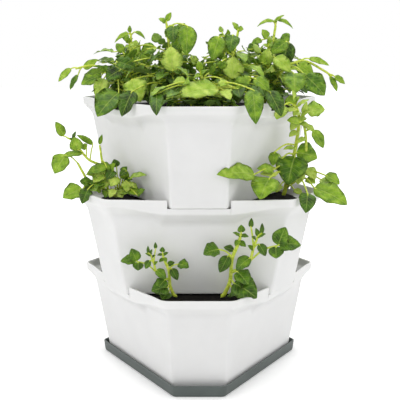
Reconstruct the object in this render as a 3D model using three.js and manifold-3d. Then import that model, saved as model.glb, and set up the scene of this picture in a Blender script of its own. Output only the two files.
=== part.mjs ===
// Planter tower: three equal tapered pots whose plan is a triangle with its corners cut off. Each pot is
// turned half a turn on the one below, so its cut corners sit in notches of the rim beneath and the free
// corners of every pot are planting pockets. The lowest pot stands in a saucer.
// Millimetres, +Z up. The origin is on the ground under the tower's axis, and -Y is the front.
import * as THREE from 'three';
import { mergeVertices } from 'three/addons/utils/BufferGeometryUtils.js';
import Module from 'manifold-3d';

const wasm = await Module();
wasm.setup();

// Clearances
const restGap = 0.3; // between pieces that stand on or in each other
const overrun = 3; // how far a cutter passes the face that it cuts
const speckVolume = 0.5; // cubic millimetres

// Pots: distances from the axis to the outer faces, at the foot and one pitch higher
const pitch = 190; // foot of one pot to the foot of the next
const footSide = 151;
const headSide = 178;
const footCorner = 207;
const headCorner = 245;
const potWall = 3;
const potFloor = 3.5;
const edgeRound = 10; // radius of the upright edges
const footRound = 4;
const arcSteps = 2;

// Rim: the wall flares out and ends in an upright band
const rimRise = 16.5; // rim top above the foot of the next pot
const rimThickness = 5;
const rimRound = 1.6;
const rimShoulder = 22; // how far inside the rim leaves start to climb over it
const rimDraft = 1;
const cornerReach = 16; // how far the band stands out from the wall, at the pockets
const cornerBandFoot = 1; // lower edge of the band above the next foot, at the pockets
const cornerFlareDrop = 20; // where the flare leaves the wall, below the next foot
const seatReach = 25;
const seatBandDrop = 13;
const seatFlareDrop = 36;
const sideFlareDrop = 22;
const seatHalf = 74; // half the width of the thickened stretch that carries the next pot
const seatRunOut = 18;
const notchHalf = 62; // half the width of the notch in the rim, at its outer face

// Drain holes
const drainCount = 6;
const drainCircle = 90;
const drainRadius = 5;
const drainSides = 10;

// Saucer
const saucerSide = 161;
const saucerCorner = 228;
const saucerHeight = 25;
const saucerWall = 3;
const saucerFloor = 3;
const saucerTaper = 3;
const saucerEdge = 15;
const saucerFootRound = 6;
const saucerLipRound = 1;
const ribHeight = 2.7;
const ribWidth = 5;
const ribInner = 35;
const ribLength = 100;
const ribCount = 6;

// Soil
const soilDrop = 3; // surface below the foot of the next pot
const rootDepth = 30;

// Plants
const stemRadius = 3;
const stemSides = 5;
const stalkRadius = 1.3;
const leafThickness = 1.6;
const leafClearance = 3; // of every face from the pots, the soil and the other plants
const stemClearance = 7; // of the middle line of a stem
const bladeClearance = 12; // of the ends of a blade
const branchShare = 0.75; // a side stem's radius to the main stem's
const stemTaperShare = 0.35;
const bladeArchShare = 0.06;
const bladeFoldShare = 0.2;
const bladeWidthShare = 0.8;
const pairShare = 0.65; // a side blade's size to the end blade's
const pairLeanShare = 0.4;
const facingOutShare = 0.9;

// Plants of the pockets: heights, and places beyond the foot of the pot above and along the pocket
const tallSeedling = 168;
const smallSeedling = 119;
const seedlingOut = 22;
const seedlingAlong = 48;
const tallHeight = 220;
const tallOut = 28;
const tallAlong = 57;
const leaningHeight = 168;
const leaningOut = 36;
const leaningAlong = 33;
const pocketBush = 95;
const pocketBushSpread = 50;
const bushOut = 48;

// Bushes of the top pot
const frontBush = 100;
const cornerBush = 175;
const cornerCircle = 172;
const ringBush = 165;
const topSpread = 108;
const ringCircle = 105;
const sideCircle = 150; // where the ring's two plants at the sides stand instead
const ringCount = 6;
const topLeafCount = 8;
const overhangDrop = 60; // how far a leaf may hang below the rim
const overhangRun = 10; // beyond the rim, where it may hang so far
const pocketLeafCount = 6;
const windingTurn = THREE.MathUtils.degToRad(137.5);
const bushLowRise = THREE.MathUtils.degToRad(2);
const bushTopRise = THREE.MathUtils.degToRad(70);
const bushLowShare = 0.26;
const bushHighShare = 0.97;
const bushTopReachShare = 0.45;
const bushBladeShare = 0.5;
const bushPairShare = 0.6; // how far up the stem leaves have two pairs of side blades

const third = THREE.MathUtils.degToRad(120);
const sixth = third / 2;
const root3 = Math.sqrt(3);
const up = new THREE.Vector3(0, 0, 1);

// Plan directions: angle 0 is the front, and angles grow anticlockwise seen from above
const outward = (angle) => new THREE.Vector2(Math.sin(angle), -Math.cos(angle));
const across = (angle) => new THREE.Vector2(Math.cos(angle), Math.sin(angle));

// A closed surface through rings of points, anticlockwise about the way they are stacked. A ring of one
// point is a pole, and an open end is closed by a fan. Four-sided faces that aren't flat are split along
// one diagonal or, so that one surface can lie against another stacked the other way, along the other.
function skin(rings, otherDiagonal = false) {
  const points = rings.flat();
  const starts = [];
  let count = 0;
  for (const ring of rings) {
    starts.push(count);
    count += ring.length;
  }
  const faces = [];
  for (let k = 0; k + 1 < rings.length; k += 1) {
    const lower = rings[k].length;
    const upper = rings[k + 1].length;
    const size = Math.max(lower, upper);
    for (let i = 0; i < size; i += 1) {
      const j = (i + 1) % size;
      const a = starts[k] + (lower > 1 ? i : 0);
      const b = starts[k] + (lower > 1 ? j : 0);
      const c = starts[k + 1] + (upper > 1 ? j : 0);
      const d = starts[k + 1] + (upper > 1 ? i : 0);
      if (lower > 1) faces.push(a, b, otherDiagonal && upper > 1 ? d : c);
      if (upper > 1) faces.push(otherDiagonal && lower > 1 ? b : a, c, d);
    }
  }
  const closeEnd = (ring, start, flip) => {
    if (ring.length === 1) return;
    const centre = new THREE.Vector3();
    for (const point of ring) centre.add(point);
    points.push(centre.divideScalar(ring.length));
    for (let i = 0; i < ring.length; i += 1) {
      const j = (i + 1) % ring.length;
      faces.push(points.length - 1, start + (flip ? j : i), start + (flip ? i : j));
    }
  };
  closeEnd(rings[0], starts[0], true);
  closeEnd(rings.at(-1), starts.at(-1), false);
  const geometry = new THREE.BufferGeometry().setFromPoints(points);
  geometry.setIndex(faces);
  return geometry;
}

// Solids for joining and cutting
function solid(geometry) {
  const bare = geometry.clone();
  bare.deleteAttribute('normal');
  bare.deleteAttribute('uv');
  const merged = mergeVertices(bare);
  const mesh = new wasm.Mesh({
    numProp: 3,
    vertProperties: new Float32Array(merged.attributes.position.array),
    triVerts: new Uint32Array(merged.index.array),
  });
  return new wasm.Manifold(mesh);
}

// Specks and pinholes that joining can leave behind are dropped
function surface(body) {
  const whole = body.decompose().filter((piece) => Math.abs(piece.volume()) > speckVolume);
  const mesh = wasm.Manifold.compose(whole).getMesh();
  const geometry = new THREE.BufferGeometry();
  geometry.setAttribute('position', new THREE.BufferAttribute(new Float32Array(mesh.vertProperties), 3));
  geometry.setIndex(new THREE.BufferAttribute(new Uint32Array(mesh.triVerts), 1));
  return geometry;
}

// One third of a pot's outline: the two rounded edges of a cut corner, then the long side after it.
// Places on the long side are fixed near its seat and shared out between the seat and the edge.
const sideShares = [0.5];
function outlineColumns() {
  const columns = [];
  for (const facing of [0, third, 2 * third]) {
    for (const hand of [-1, 1]) {
      for (let step = 0; step <= arcSteps; step += 1) {
        const turnShare = hand > 0 ? step / arcSteps : 1 - step / arcSteps;
        columns.push({ facing, hand, turnShare });
      }
    }
    const fixed = [seatHalf, seatHalf + seatRunOut];
    for (const share of sideShares) columns.push({ facing, along: -1, share });
    for (const place of fixed.toReversed()) columns.push({ facing, along: -1, place });
    for (const place of fixed) columns.push({ facing, along: 1, place });
    for (const share of sideShares) columns.push({ facing, along: 1, share });
  }
  return columns;
}

// A column's point on the outline with its long sides and cut corners at the given distances, its edges
// rounded, and the whole pushed out by offset
function outlinePoint(column, side, corner, round, offset, height) {
  const { facing } = column;
  if (column.hand) {
    const middle = outward(facing).multiplyScalar(corner - round);
    const halfFacet = (2 * (side - round) - (corner - round)) / root3;
    middle.addScaledVector(across(facing), column.hand * halfFacet);
    middle.addScaledVector(outward(facing + column.hand * column.turnShare * sixth), round + offset);
    return new THREE.Vector3(middle.x, middle.y, height);
  }
  const place = outward(facing + sixth).multiplyScalar(side + offset);
  place.addScaledVector(across(facing + sixth), column.along * alongSide(column, side, corner, round));
  return new THREE.Vector3(place.x, place.y, height);
}

function alongSide(column, side, corner, round) {
  if (column.place) return column.place;
  const from = seatHalf + seatRunOut;
  const to = (2 * (corner - round) - (side - round)) / root3;
  return from + column.share * (to - from);
}

const potSide = (height) => THREE.MathUtils.lerp(footSide, headSide, Math.min(height, pitch) / pitch);
const potCorner = (height) => THREE.MathUtils.lerp(footCorner, headCorner, Math.min(height, pitch) / pitch);
const potPoint = (column, offset, height) =>
  outlinePoint(column, potSide(height), potCorner(height), edgeRound, offset, height);

// The rim's section at a column: where its flare starts, where its band starts and how far it stands out
function rimSection(column) {
  let toCorner = 1;
  if (column.along) {
    const end = (2 * (headCorner - edgeRound) - (headSide - edgeRound)) / root3;
    const place = alongSide(column, headSide, headCorner, edgeRound);
    toCorner = (place - notchHalf) / (end - notchHalf);
  }
  const eased = THREE.MathUtils.smoothstep(toCorner, 0, 1);
  const reach = THREE.MathUtils.lerp(seatReach, cornerReach, eased);
  const bandFoot = pitch + THREE.MathUtils.lerp(-seatBandDrop, cornerBandFoot, eased);
  const onSeat = column.place && column.place <= seatHalf;
  const sideDrop = THREE.MathUtils.lerp(sideFlareDrop, cornerFlareDrop, eased);
  const flareFoot = pitch - (onSeat ? seatFlareDrop : sideDrop);
  const slope = Math.atan2(bandFoot - flareFoot, reach);
  return {
    reach,
    bandFoot,
    flareFoot,
    slope,
    innerFlareFoot: flareFoot + potWall * (1 / Math.cos(slope) - Math.tan(slope)),
    innerBandFoot: bandFoot + potWall / Math.cos(slope) - rimThickness * Math.tan(slope),
  };
}

const rimTop = pitch + rimRise;
const soilTop = pitch - soilDrop;
const columns = outlineColumns();

function potRings() {
  const half = Math.SQRT1_2;
  const bandTop = rimTop - rimRound;
  const sections = columns.map(rimSection);
  const ring = (offset, height) =>
    columns.map((column, k) => potPoint(column, offset(sections[k]), height(sections[k])));
  return [
    ring(() => -footRound, () => 0),
    ring(() => footRound * (half - 1), () => footRound * (1 - half)),
    ring(() => 0, () => footRound),
    ring(() => 0, (section) => section.flareFoot),
    ring((section) => section.reach, (section) => section.bandFoot),
    ring((section) => section.reach + rimDraft, () => bandTop),
    ring((section) => section.reach + rimDraft - rimRound, () => rimTop),
    ring((section) => section.reach + rimDraft - rimThickness + rimRound, () => rimTop),
    ring((section) => section.reach + rimDraft - rimThickness, () => bandTop),
    ring((section) => section.reach - rimThickness, (section) => section.innerBandFoot),
    ring(() => -potWall, (section) => section.innerFlareFoot),
    ring(() => -potWall, () => potFloor),
  ];
}

// The notch that takes the next pot's cut corner: its ends run along that pot's long sides
function notchCutter() {
  const outerFace = headSide + seatReach + rimDraft + overrun;
  const innerFace = headSide - potWall - overrun;
  const widen = Math.tan(sixth / 2);
  const outerHalf = notchHalf - overrun * widen;
  const innerHalf = outerHalf + (outerFace - innerFace) * widen;
  const plan = new THREE.Shape();
  plan.moveTo(-outerHalf, -outerFace);
  plan.lineTo(outerHalf, -outerFace);
  plan.lineTo(innerHalf, -innerFace);
  plan.lineTo(-innerHalf, -innerFace);
  plan.closePath();
  const depth = rimRise + restGap + overrun;
  return new THREE.ExtrudeGeometry(plan, { depth, bevelEnabled: false });
}

function potGeometry() {
  let body = solid(skin(potRings()));
  const notch = notchCutter();
  for (let k = 0; k < 3; k += 1) {
    const cutter = notch.clone().rotateZ(k * third + sixth);
    body = body.subtract(solid(cutter.translate(0, 0, pitch - restGap)));
  }
  const drillLength = potFloor + 2 * overrun;
  const drill = new THREE.CylinderGeometry(drainRadius, drainRadius, drillLength, drainSides);
  drill.rotateX(Math.PI / 2);
  for (let k = 0; k < drainCount; k += 1) {
    const place = outward(((k + 0.5) / drainCount) * 2 * Math.PI).multiplyScalar(drainCircle);
    body = body.subtract(solid(drill.clone().translate(place.x, place.y, potFloor / 2)));
  }
  return surface(body);
}

// Soil fills a pot to just under the next one, inside the wall and the flare, and every plant stands in a
// hole of its own
function soilGeometry(holes) {
  const sections = columns.map(rimSection);
  const ring = (offset, height) =>
    columns.map((column, k) => potPoint(column, offset(sections[k]) - restGap, height(sections[k])));
  const fill = skin([
    ring(() => -potWall, () => potFloor + restGap),
    ring(() => -potWall, (section) => section.innerFlareFoot),
    ring((section) => section.reach - rimThickness, (section) => section.innerBandFoot),
    ring((section) => section.reach - rimThickness, () => rimTop + overrun),
  ], true);
  const levelWidth = 2 * (headCorner + seatReach);
  const levelHeight = rimRise + soilDrop + 2 * overrun;
  const leveller = new THREE.BoxGeometry(levelWidth, levelWidth, levelHeight);
  leveller.translate(0, 0, soilTop + levelHeight / 2);
  let body = solid(fill).subtract(solid(leveller));
  const holeRadius = stemRadius + restGap;
  const holeDepth = rootDepth + restGap + overrun;
  const drill = new THREE.CylinderGeometry(holeRadius, holeRadius, holeDepth, 2 * stemSides);
  drill.rotateX(Math.PI / 2);
  for (const hole of holes) {
    const cutter = drill.clone().translate(hole.x, hole.y, soilTop + overrun - holeDepth / 2);
    body = body.subtract(solid(cutter));
  }
  return surface(body);
}

function saucerGeometry() {
  const half = Math.SQRT1_2;
  const plain = columns.filter((column) => column.hand);
  const ring = (offset, height) =>
    plain.map((column) => outlinePoint(column, saucerSide, saucerCorner, saucerEdge, offset, height));
  const inside = -saucerWall - saucerTaper;
  let body = solid(
    skin([
      ring(-saucerTaper - saucerFootRound, 0),
      ring(-saucerTaper - saucerFootRound * (1 - half), saucerFootRound * (1 - half)),
      ring(-saucerTaper, saucerFootRound),
      ring(0, saucerHeight - saucerLipRound),
      ring(-saucerLipRound, saucerHeight),
      ring(saucerLipRound - saucerWall, saucerHeight),
      ring(-saucerWall, saucerHeight - saucerLipRound),
      ring(inside, saucerFloor),
    ]),
  );
  const rib = new THREE.BoxGeometry(ribWidth, ribLength, ribHeight + saucerFloor / 2);
  const middle = (saucerFloor + ribHeight + saucerFloor / 2) / 2;
  rib.translate(0, -ribInner - ribLength / 2, middle);
  for (let k = 0; k < ribCount; k += 1) {
    body = body.add(solid(rib.clone().rotateZ((k / ribCount) * 2 * Math.PI)));
  }
  return surface(body);
}

// How far a pot's outer face is from its own foot's axis along the long sides and the cut corners, with
// the whole rim kept clear above the start of its flare, so that the pot can be lifted past a plant
function potReach(height) {
  const rimReach = seatReach + rimDraft;
  const onRim = THREE.MathUtils.smoothstep(height, pitch - 2 * seatFlareDrop, pitch - seatFlareDrop);
  const side = potSide(Math.max(height, 0)) + onRim * rimReach;
  const corner = potCorner(Math.max(height, 0)) + onRim * rimReach;
  return { side, corner };
}

// A place that would come nearer than keep to the pot standing above is eased outwards. The pot above is
// turned half a turn.
function clearOfPotAbove(place, keep) {
  const reach = potReach(place.z - pitch);
  let best = { excess: -Infinity };
  for (let k = 0; k < 6; k += 1) {
    const facing = outward(k * sixth);
    const distance = k % 2 ? reach.corner : reach.side;
    const excess = place.x * facing.x + place.y * facing.y - distance;
    if (excess > best.excess) best = { excess, facing };
  }
  const push = softFloor(best.excess, keep) - best.excess;
  return new THREE.Vector3(place.x + best.facing.x * push, place.y + best.facing.y * push, place.z);
}

// A place that would come nearer than keep to the plant's own pot or soil is eased upwards: over the soil,
// and over the rim. Beyond the rim a leaf may hang.
function overOwnPot(place, keep) {
  const edge = seatReach + rimDraft - rimThickness;
  let excess = -Infinity;
  for (let k = 0; k < 6; k += 1) {
    const facing = outward(k * sixth);
    const distance = k % 2 ? headSide + edge : headCorner + edge + cornerReach - seatReach;
    excess = Math.max(excess, place.x * facing.x + place.y * facing.y - distance);
  }
  const toRim = THREE.MathUtils.smoothstep(excess, -rimShoulder, -keep);
  const hung = THREE.MathUtils.smoothstep(excess, rimThickness + keep, rimThickness + keep + overhangRun);
  const ground = THREE.MathUtils.lerp(soilTop, rimTop, toRim) - hung * overhangDrop;
  return place.clone().setZ(ground + softFloor(place.z - ground, keep));
}

// The value itself when it is above twice the floor, and never below the floor
function softFloor(value, floor) {
  if (value >= 2 * floor) return value;
  return floor + floor * Math.exp(value / floor - 2);
}

// A tapered tube along points, with radii at them
const turnAwayShare = 0.3; // a tube more nearly along X than this takes Y for its frame
function tube(path, radii, sides) {
  const frameAxis = new THREE.Vector3(1, 0, 0);
  const rings = path.map((point, k) => {
    const before = path[Math.max(k - 1, 0)];
    const after = path[Math.min(k + 1, path.length - 1)];
    const along = after.clone().sub(before).normalize();
    const first = frameAxis.clone().addScaledVector(along, -frameAxis.dot(along));
    if (first.length() < turnAwayShare) first.set(0, 1, 0).addScaledVector(along, -along.y);
    first.normalize();
    const second = along.clone().cross(first);
    return Array.from({ length: sides }, (_, i) => {
      const turn = (i / sides) * 2 * Math.PI;
      return point
        .clone()
        .addScaledVector(first, Math.cos(turn) * radii[k])
        .addScaledVector(second, Math.sin(turn) * radii[k]);
    });
  });
  return skin(rings);
}

// A leaf: its blade from base to tip, with the given shares of its width at shares of its length, a little
// folded along the midrib and arched, and its stalk from start to the blade unless it has none
function leafGeometry({ start, base, tip, width, facing, widths }) {
  const frameOf = (along) => {
    const normal = facing.clone().addScaledVector(along, -facing.dot(along)).normalize();
    return { normal, sideways: normal.clone().cross(along) };
  };
  const section = (middle, { normal, sideways }, half, thick, lift) => {
    const raised = middle.clone().addScaledVector(normal, lift);
    const edge = (hand) => raised.clone().addScaledVector(sideways, hand * half);
    return [
      middle.clone().addScaledVector(normal, thick),
      edge(-1),
      middle.clone().addScaledVector(normal, -thick),
      edge(1),
    ];
  };
  const length = base.distanceTo(tip);
  const onward = tip.clone().sub(base).normalize();
  const rings = widths.map(([share, widthShare]) => {
    const middle = base.clone().lerp(tip, share);
    middle.addScaledVector(up, bladeArchShare * length * 4 * share * (1 - share));
    const half = (width * widthShare) / 2;
    return section(middle, frameOf(onward), half, leafThickness / 2, bladeFoldShare * half);
  });
  if (!start) return skin([[base.clone()], ...rings, [tip.clone()]]);
  const stalk = base.clone().sub(start).normalize();
  const neck = stalk.clone().add(onward).normalize();
  return skin([
    section(start, frameOf(stalk), stalkRadius, stalkRadius, 0),
    section(base, frameOf(neck), stalkRadius, leafThickness / 2, 0),
    ...rings,
    [tip.clone()],
  ]);
}

// The point at a share of the way along a broken line
function pointAlong(path, share) {
  const lengths = path.slice(1).map((point, k) => point.distanceTo(path[k]));
  let left = share * lengths.reduce((sum, length) => sum + length, 0);
  for (let k = 0; k < lengths.length; k += 1) {
    if (left <= lengths[k]) return path[k].clone().lerp(path[k + 1], left / lengths[k]);
    left -= lengths[k];
  }
  return path.at(-1).clone();
}

// A plant: stems, and leaves on stalks. Stem points, blade bases and blade tips are places across, out and
// up from the root crown, in shares of the plant's height. A leaf says which stem it is on, how far along,
// its base, its tip, its width and how many pairs of small blades its stalk carries.
function plantGeometry({ crown, height, turn, hand, stems, leaves, widths, keepStem, keepLeaf }) {
  const out = outward(turn);
  const side = across(turn);
  const spot = (a, o, u) => {
    const x = crown.x + height * (side.x * a * hand + out.x * o);
    const y = crown.y + height * (side.y * a * hand + out.y * o);
    return new THREE.Vector3(x, y, crown.z + height * u);
  };
  const facing = new THREE.Vector3(out.x * facingOutShare, out.y * facingOutShare, 1).normalize();
  const collar = crown.clone().setZ(crown.z + leafClearance);
  const paths = stems.map((stem) => stem.map(([a, o, u]) => keepStem(spot(a, o, u), stemClearance)));
  paths[0][0] = collar;
  const root = crown.clone().setZ(crown.z - rootDepth);
  let body = solid(tube([root, collar], [stemRadius, stemRadius], stemSides));
  const join = (geometry, keep) => {
    const places = geometry.attributes.position;
    for (let i = 0; i < places.count; i += 1) {
      const place = keep(new THREE.Vector3().fromBufferAttribute(places, i), leafClearance);
      places.setXYZ(i, place.x, place.y, place.z);
    }
    body = body.add(solid(geometry));
  };
  paths.forEach((path, k) => {
    const radius = (k ? branchShare : 1) * stemRadius;
    const radii = path.map((_, i) => radius * (1 - stemTaperShare * (i / (path.length - 1))));
    join(tube(path, radii, stemSides), keepStem);
  });
  for (const [stem, share, ba, bo, bu, ta, to, tu, widthShare, pairs] of leaves) {
    const start = pointAlong(paths[stem], share);
    const base = keepLeaf(spot(ba, bo, bu), bladeClearance);
    const tip = keepLeaf(spot(ta, to, tu), bladeClearance);
    const width = height * widthShare;
    join(leafGeometry({ start, base, tip, width, facing, widths }), keepLeaf);
    const stalkFoot = keepLeaf(start, leafClearance);
    const stalkTop = keepLeaf(base, leafClearance);
    const along = stalkTop.clone().sub(stalkFoot).normalize();
    const sideways = facing.clone().cross(along).normalize();
    for (let k = 0; k < 2 * pairs; k += 1) {
      const foot = stalkFoot.clone().lerp(stalkTop, (1 + Math.floor(k / 2)) / (pairs + 1));
      const way = sideways.clone().multiplyScalar(k % 2 ? 1 : -1).addScaledVector(along, pairLeanShare);
      const reach = way.multiplyScalar(base.distanceTo(tip) * pairShare);
      const pairTip = keepLeaf(foot.clone().add(reach), bladeClearance);
      const onStalk = (place, keep) => (place.distanceTo(foot) < stalkRadius ? place : keepLeaf(place, keep));
      join(leafGeometry({ base: foot, tip: pairTip, width: width * pairShare, facing, widths }), onStalk);
    }
  }
  return surface(body);
}

// A place is eased back so that it stays nearer to its own crown than to the others
function insideCell(place, crown, others, keep) {
  const offset = new THREE.Vector2(place.x - crown.x, place.y - crown.y);
  const length = offset.length();
  let limit = Infinity;
  for (const other of others) {
    const toOther = new THREE.Vector2(other.x - crown.x, other.y - crown.y);
    const closing = offset.dot(toOther) / (length * toOther.length());
    if (closing > 0) limit = Math.min(limit, (toOther.length() / 2 - keep) / closing);
  }
  const knee = limit - keep;
  if (!(length > knee)) return place;
  const room = limit - knee;
  offset.setLength(knee + room * Math.tanh((length - knee) / room));
  return new THREE.Vector3(crown.x + offset.x, crown.y + offset.y, place.z);
}

// The leaves of a bushy plant wind up its stem, the lowest longest and flattest
function bushLeaves(stem, reachShare, phase, count) {
  const rows = [];
  const path = stem.map((place) => new THREE.Vector3(...place));
  for (let k = 0; k < count; k += 1) {
    const climb = k / (count - 1);
    const share = THREE.MathUtils.lerp(bushLowShare, bushHighShare, climb);
    const bearing = phase + k * windingTurn;
    const rise = THREE.MathUtils.lerp(bushLowRise, bushTopRise, climb);
    const reach = reachShare * THREE.MathUtils.lerp(1, bushTopReachShare, climb);
    const bladeShare = reach * bushBladeShare;
    const flat = Math.cos(rise);
    const way = new THREE.Vector3(Math.cos(bearing) * flat, Math.sin(bearing) * flat, Math.sin(rise));
    const at = (length) => pointAlong(path, share).addScaledVector(way, length).toArray();
    const pairs = climb < bushPairShare ? 2 : 1;
    rows.push([0, share, ...at(reach - bladeShare), ...at(reach), bladeShare * bladeWidthShare, pairs]);
  }
  return rows;
}
const bushStem = [[0, 0, 0], [0, 0, 1]];

// Seedling of the lowest pot's front pocket: right-hand form, places in shares of its height
const seedlingStems = [
  [[0, 0, 0], [0.09, 0.05, 0.235], [0.11, 0.1, 0.515], [0.18, 0.17, 0.72], [0.21, 0.24, 0.85]],
  [[0.1, 0.07, 0.35], [0.22, 0.1, 0.41], [0.32, 0.14, 0.505], [0.365, 0.2, 0.695], [0.41, 0.26, 0.84]],
];
const seedlingLeafShares = [
  [0, 0.62, -0.045, 0.15, 0.65, -0.235, 0.2, 0.61, 0.19, 0],
  [0, 0.6, 0.065, 0.12, 0.565, -0.02, 0.16, 0.42, 0.125, 0],
  [0, 0.7, 0.13, 0.1, 0.625, 0.01, 0.1, 0.665, 0.085, 0],
  [1, 0.5, 0.32, 0.22, 0.565, 0.155, 0.27, 0.43, 0.14, 0],
  [0, 0.38, 0.185, 0.18, 0.385, 0.3, 0.25, 0.275, 0.165, 0],
  [0, 0.28, 0.11, 0.2, 0.27, 0.37, 0.3, 0.145, 0.2, 0],
  [1, 0.42, 0.66, 0.25, 0.725, 0.92, 0.25, 0.745, 0.17, 0],
  [1, 0.42, 0.65, 0.25, 0.725, 0.735, 0.25, 0.945, 0.17, 0],
  [1, 0.42, 0.62, 0.25, 0.71, 0.625, 0.28, 0.57, 0.15, 0],
  [1, 1, 0.44, 0.26, 0.81, 0.5, 0.28, 0.68, 0.09, 0],
  [0, 1, 0.21, 0.25, 0.88, 0.21, 0.26, 0.975, 0.075, 0],
  [1, 0.72, 0.325, 0.27, 0.945, 0.33, 0.28, 1.06, 0.05, 0],
  [1, 1, 0.45, 0.27, 0.87, 0.455, 0.28, 1, 0.045, 0],
];

// Tall plant of the middle pot's right pocket
const tallStems = [
  [
    [0, 0, 0], [0.02, 0.04, 0.145], [0.055, 0.08, 0.28], [0.08, 0.12, 0.425],
    [0.105, 0.16, 0.615], [0.11, 0.2, 0.725], [0.1, 0.25, 0.835], [0.06, 0.3, 0.92],
  ],
  [
    [0.02, 0.03, 0.1], [0.15, 0.08, 0.22], [0.19, 0.12, 0.42], [0.19, 0.15, 0.545],
    [0.17, 0.19, 0.68], [0.13, 0.24, 0.805],
  ],
];
const tallLeafShares = [
  [0, 0.4, 0.08, 0.2, 0.42, 0, 0.35, 0.185, 0.25, 0],
  [0, 0.42, 0.1, 0.14, 0.45, 0.3, 0.15, 0.41, 0.19, 0],
  [0, 0.15, -0.19, 0.64, 0.28, -0.29, 0.8, 0.11, 0.22, 0],
  [0, 0.2, -0.33, 0.61, 0.31, -0.68, 0.89, 0.345, 0.15, 0],
  [0, 0.3, -0.14, 0.36, 0.315, -0.3, 0.5, 0.345, 0.085, 0],
  [0, 0.55, -0.125, 0.36, 0.485, -0.145, 0.38, 0.355, 0.08, 0],
  [1, 0.2, 0.24, 0.32, 0.185, 0.53, 0.41, 0.11, 0.24, 0],
  [1, 0.25, 0.37, 0.23, 0.245, 0.505, 0.25, 0.16, 0.11, 0],
  [1, 0.15, 0.165, 0.51, 0.13, 0.14, 0.56, -0.03, 0.16, 0],
  [1, 0.8, 0.245, 0.23, 0.675, 0.345, 0.23, 0.505, 0.09, 0],
  [1, 1, 0.18, 0.27, 0.85, 0.345, 0.27, 0.875, 0.15, 0],
  [0, 1, -0.06, 0.43, 0.925, -0.12, 0.48, 0.805, 0.12, 0],
  [0, 1, 0.025, 0.34, 0.93, 0, 0.34, 1.01, 0.1, 0],
  [0, 0.8, 0.105, 0.34, 0.76, -0.02, 0.36, 0.78, 0.08, 0],
];

// Leaning plant of the middle pot's left pocket
const leaningStems = [
  [[0, 0, 0], [-0.17, 0.05, 0.15], [-0.33, 0.1, 0.25], [-0.39, 0.12, 0.35], [-0.45, 0.13, 0.47]],
  [[-0.08, 0.02, 0.07], [-0.15, 0.06, 0.45], [-0.17, 0.08, 0.63], [-0.18, 0.08, 0.69]],
  [
    [-0.145, 0.06, 0.43], [-0.31, 0.1, 0.505], [-0.41, 0.12, 0.625],
    [-0.5, 0.13, 0.745], [-0.575, 0.14, 0.79],
  ],
  [[-0.01, 0, 0.02], [0.09, 0.1, 0.18], [0.165, 0.14, 0.255]],
];
const leaningLeafShares = [
  [0, 1, -0.63, 0.18, 0.565, -0.735, 0.2, 0.37, 0.22, 0],
  [2, 0.6, -0.43, 0.2, 0.64, -0.475, 0.22, 0.81, 0.14, 0],
  [2, 0.45, -0.385, 0.15, 0.59, -0.66, 0.15, 0.55, 0.09, 0],
  [2, 1, -0.62, 0.14, 0.81, -0.72, 0.16, 1, 0.14, 0],
  [2, 0.3, -0.265, 0.07, 0.7, -0.465, 0.05, 0.815, 0.065, 0],
  [1, 1, -0.18, 0.08, 0.7, -0.145, 0.08, 0.825, 0.045, 0],
  [2, 0.4, -0.33, 0.18, 0.66, -0.4, 0.18, 0.695, 0.09, 0],
  [0, 0.5, -0.41, 0.2, 0.2, -0.62, 0.25, 0.21, 0.22, 0],
  [0, 0.55, -0.31, 0.16, 0.25, -0.3, 0.2, 0.12, 0.13, 0],
  [1, 0.7, -0.09, 0.15, 0.42, -0.33, 0.2, 0.35, 0.12, 0],
  [3, 0.8, 0.135, 0.14, 0.27, 0.125, 0.16, 0.42, 0.1, 0],
  [3, 1, 0.2, 0.24, 0.295, 0.475, 0.51, 0.375, 0.085, 0],
  [3, 0.5, 0.31, 0.45, 0.12, 0.41, 0.51, 0.2, 0.085, 0],
  [3, 0.5, 0.1, 0.25, 0.12, 0.22, 0.35, 0.13, 0.1, 0],
  [1, 0.5, -0.05, 0.12, 0.36, 0.02, 0.16, 0.47, 0.1, 0],
];

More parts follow.
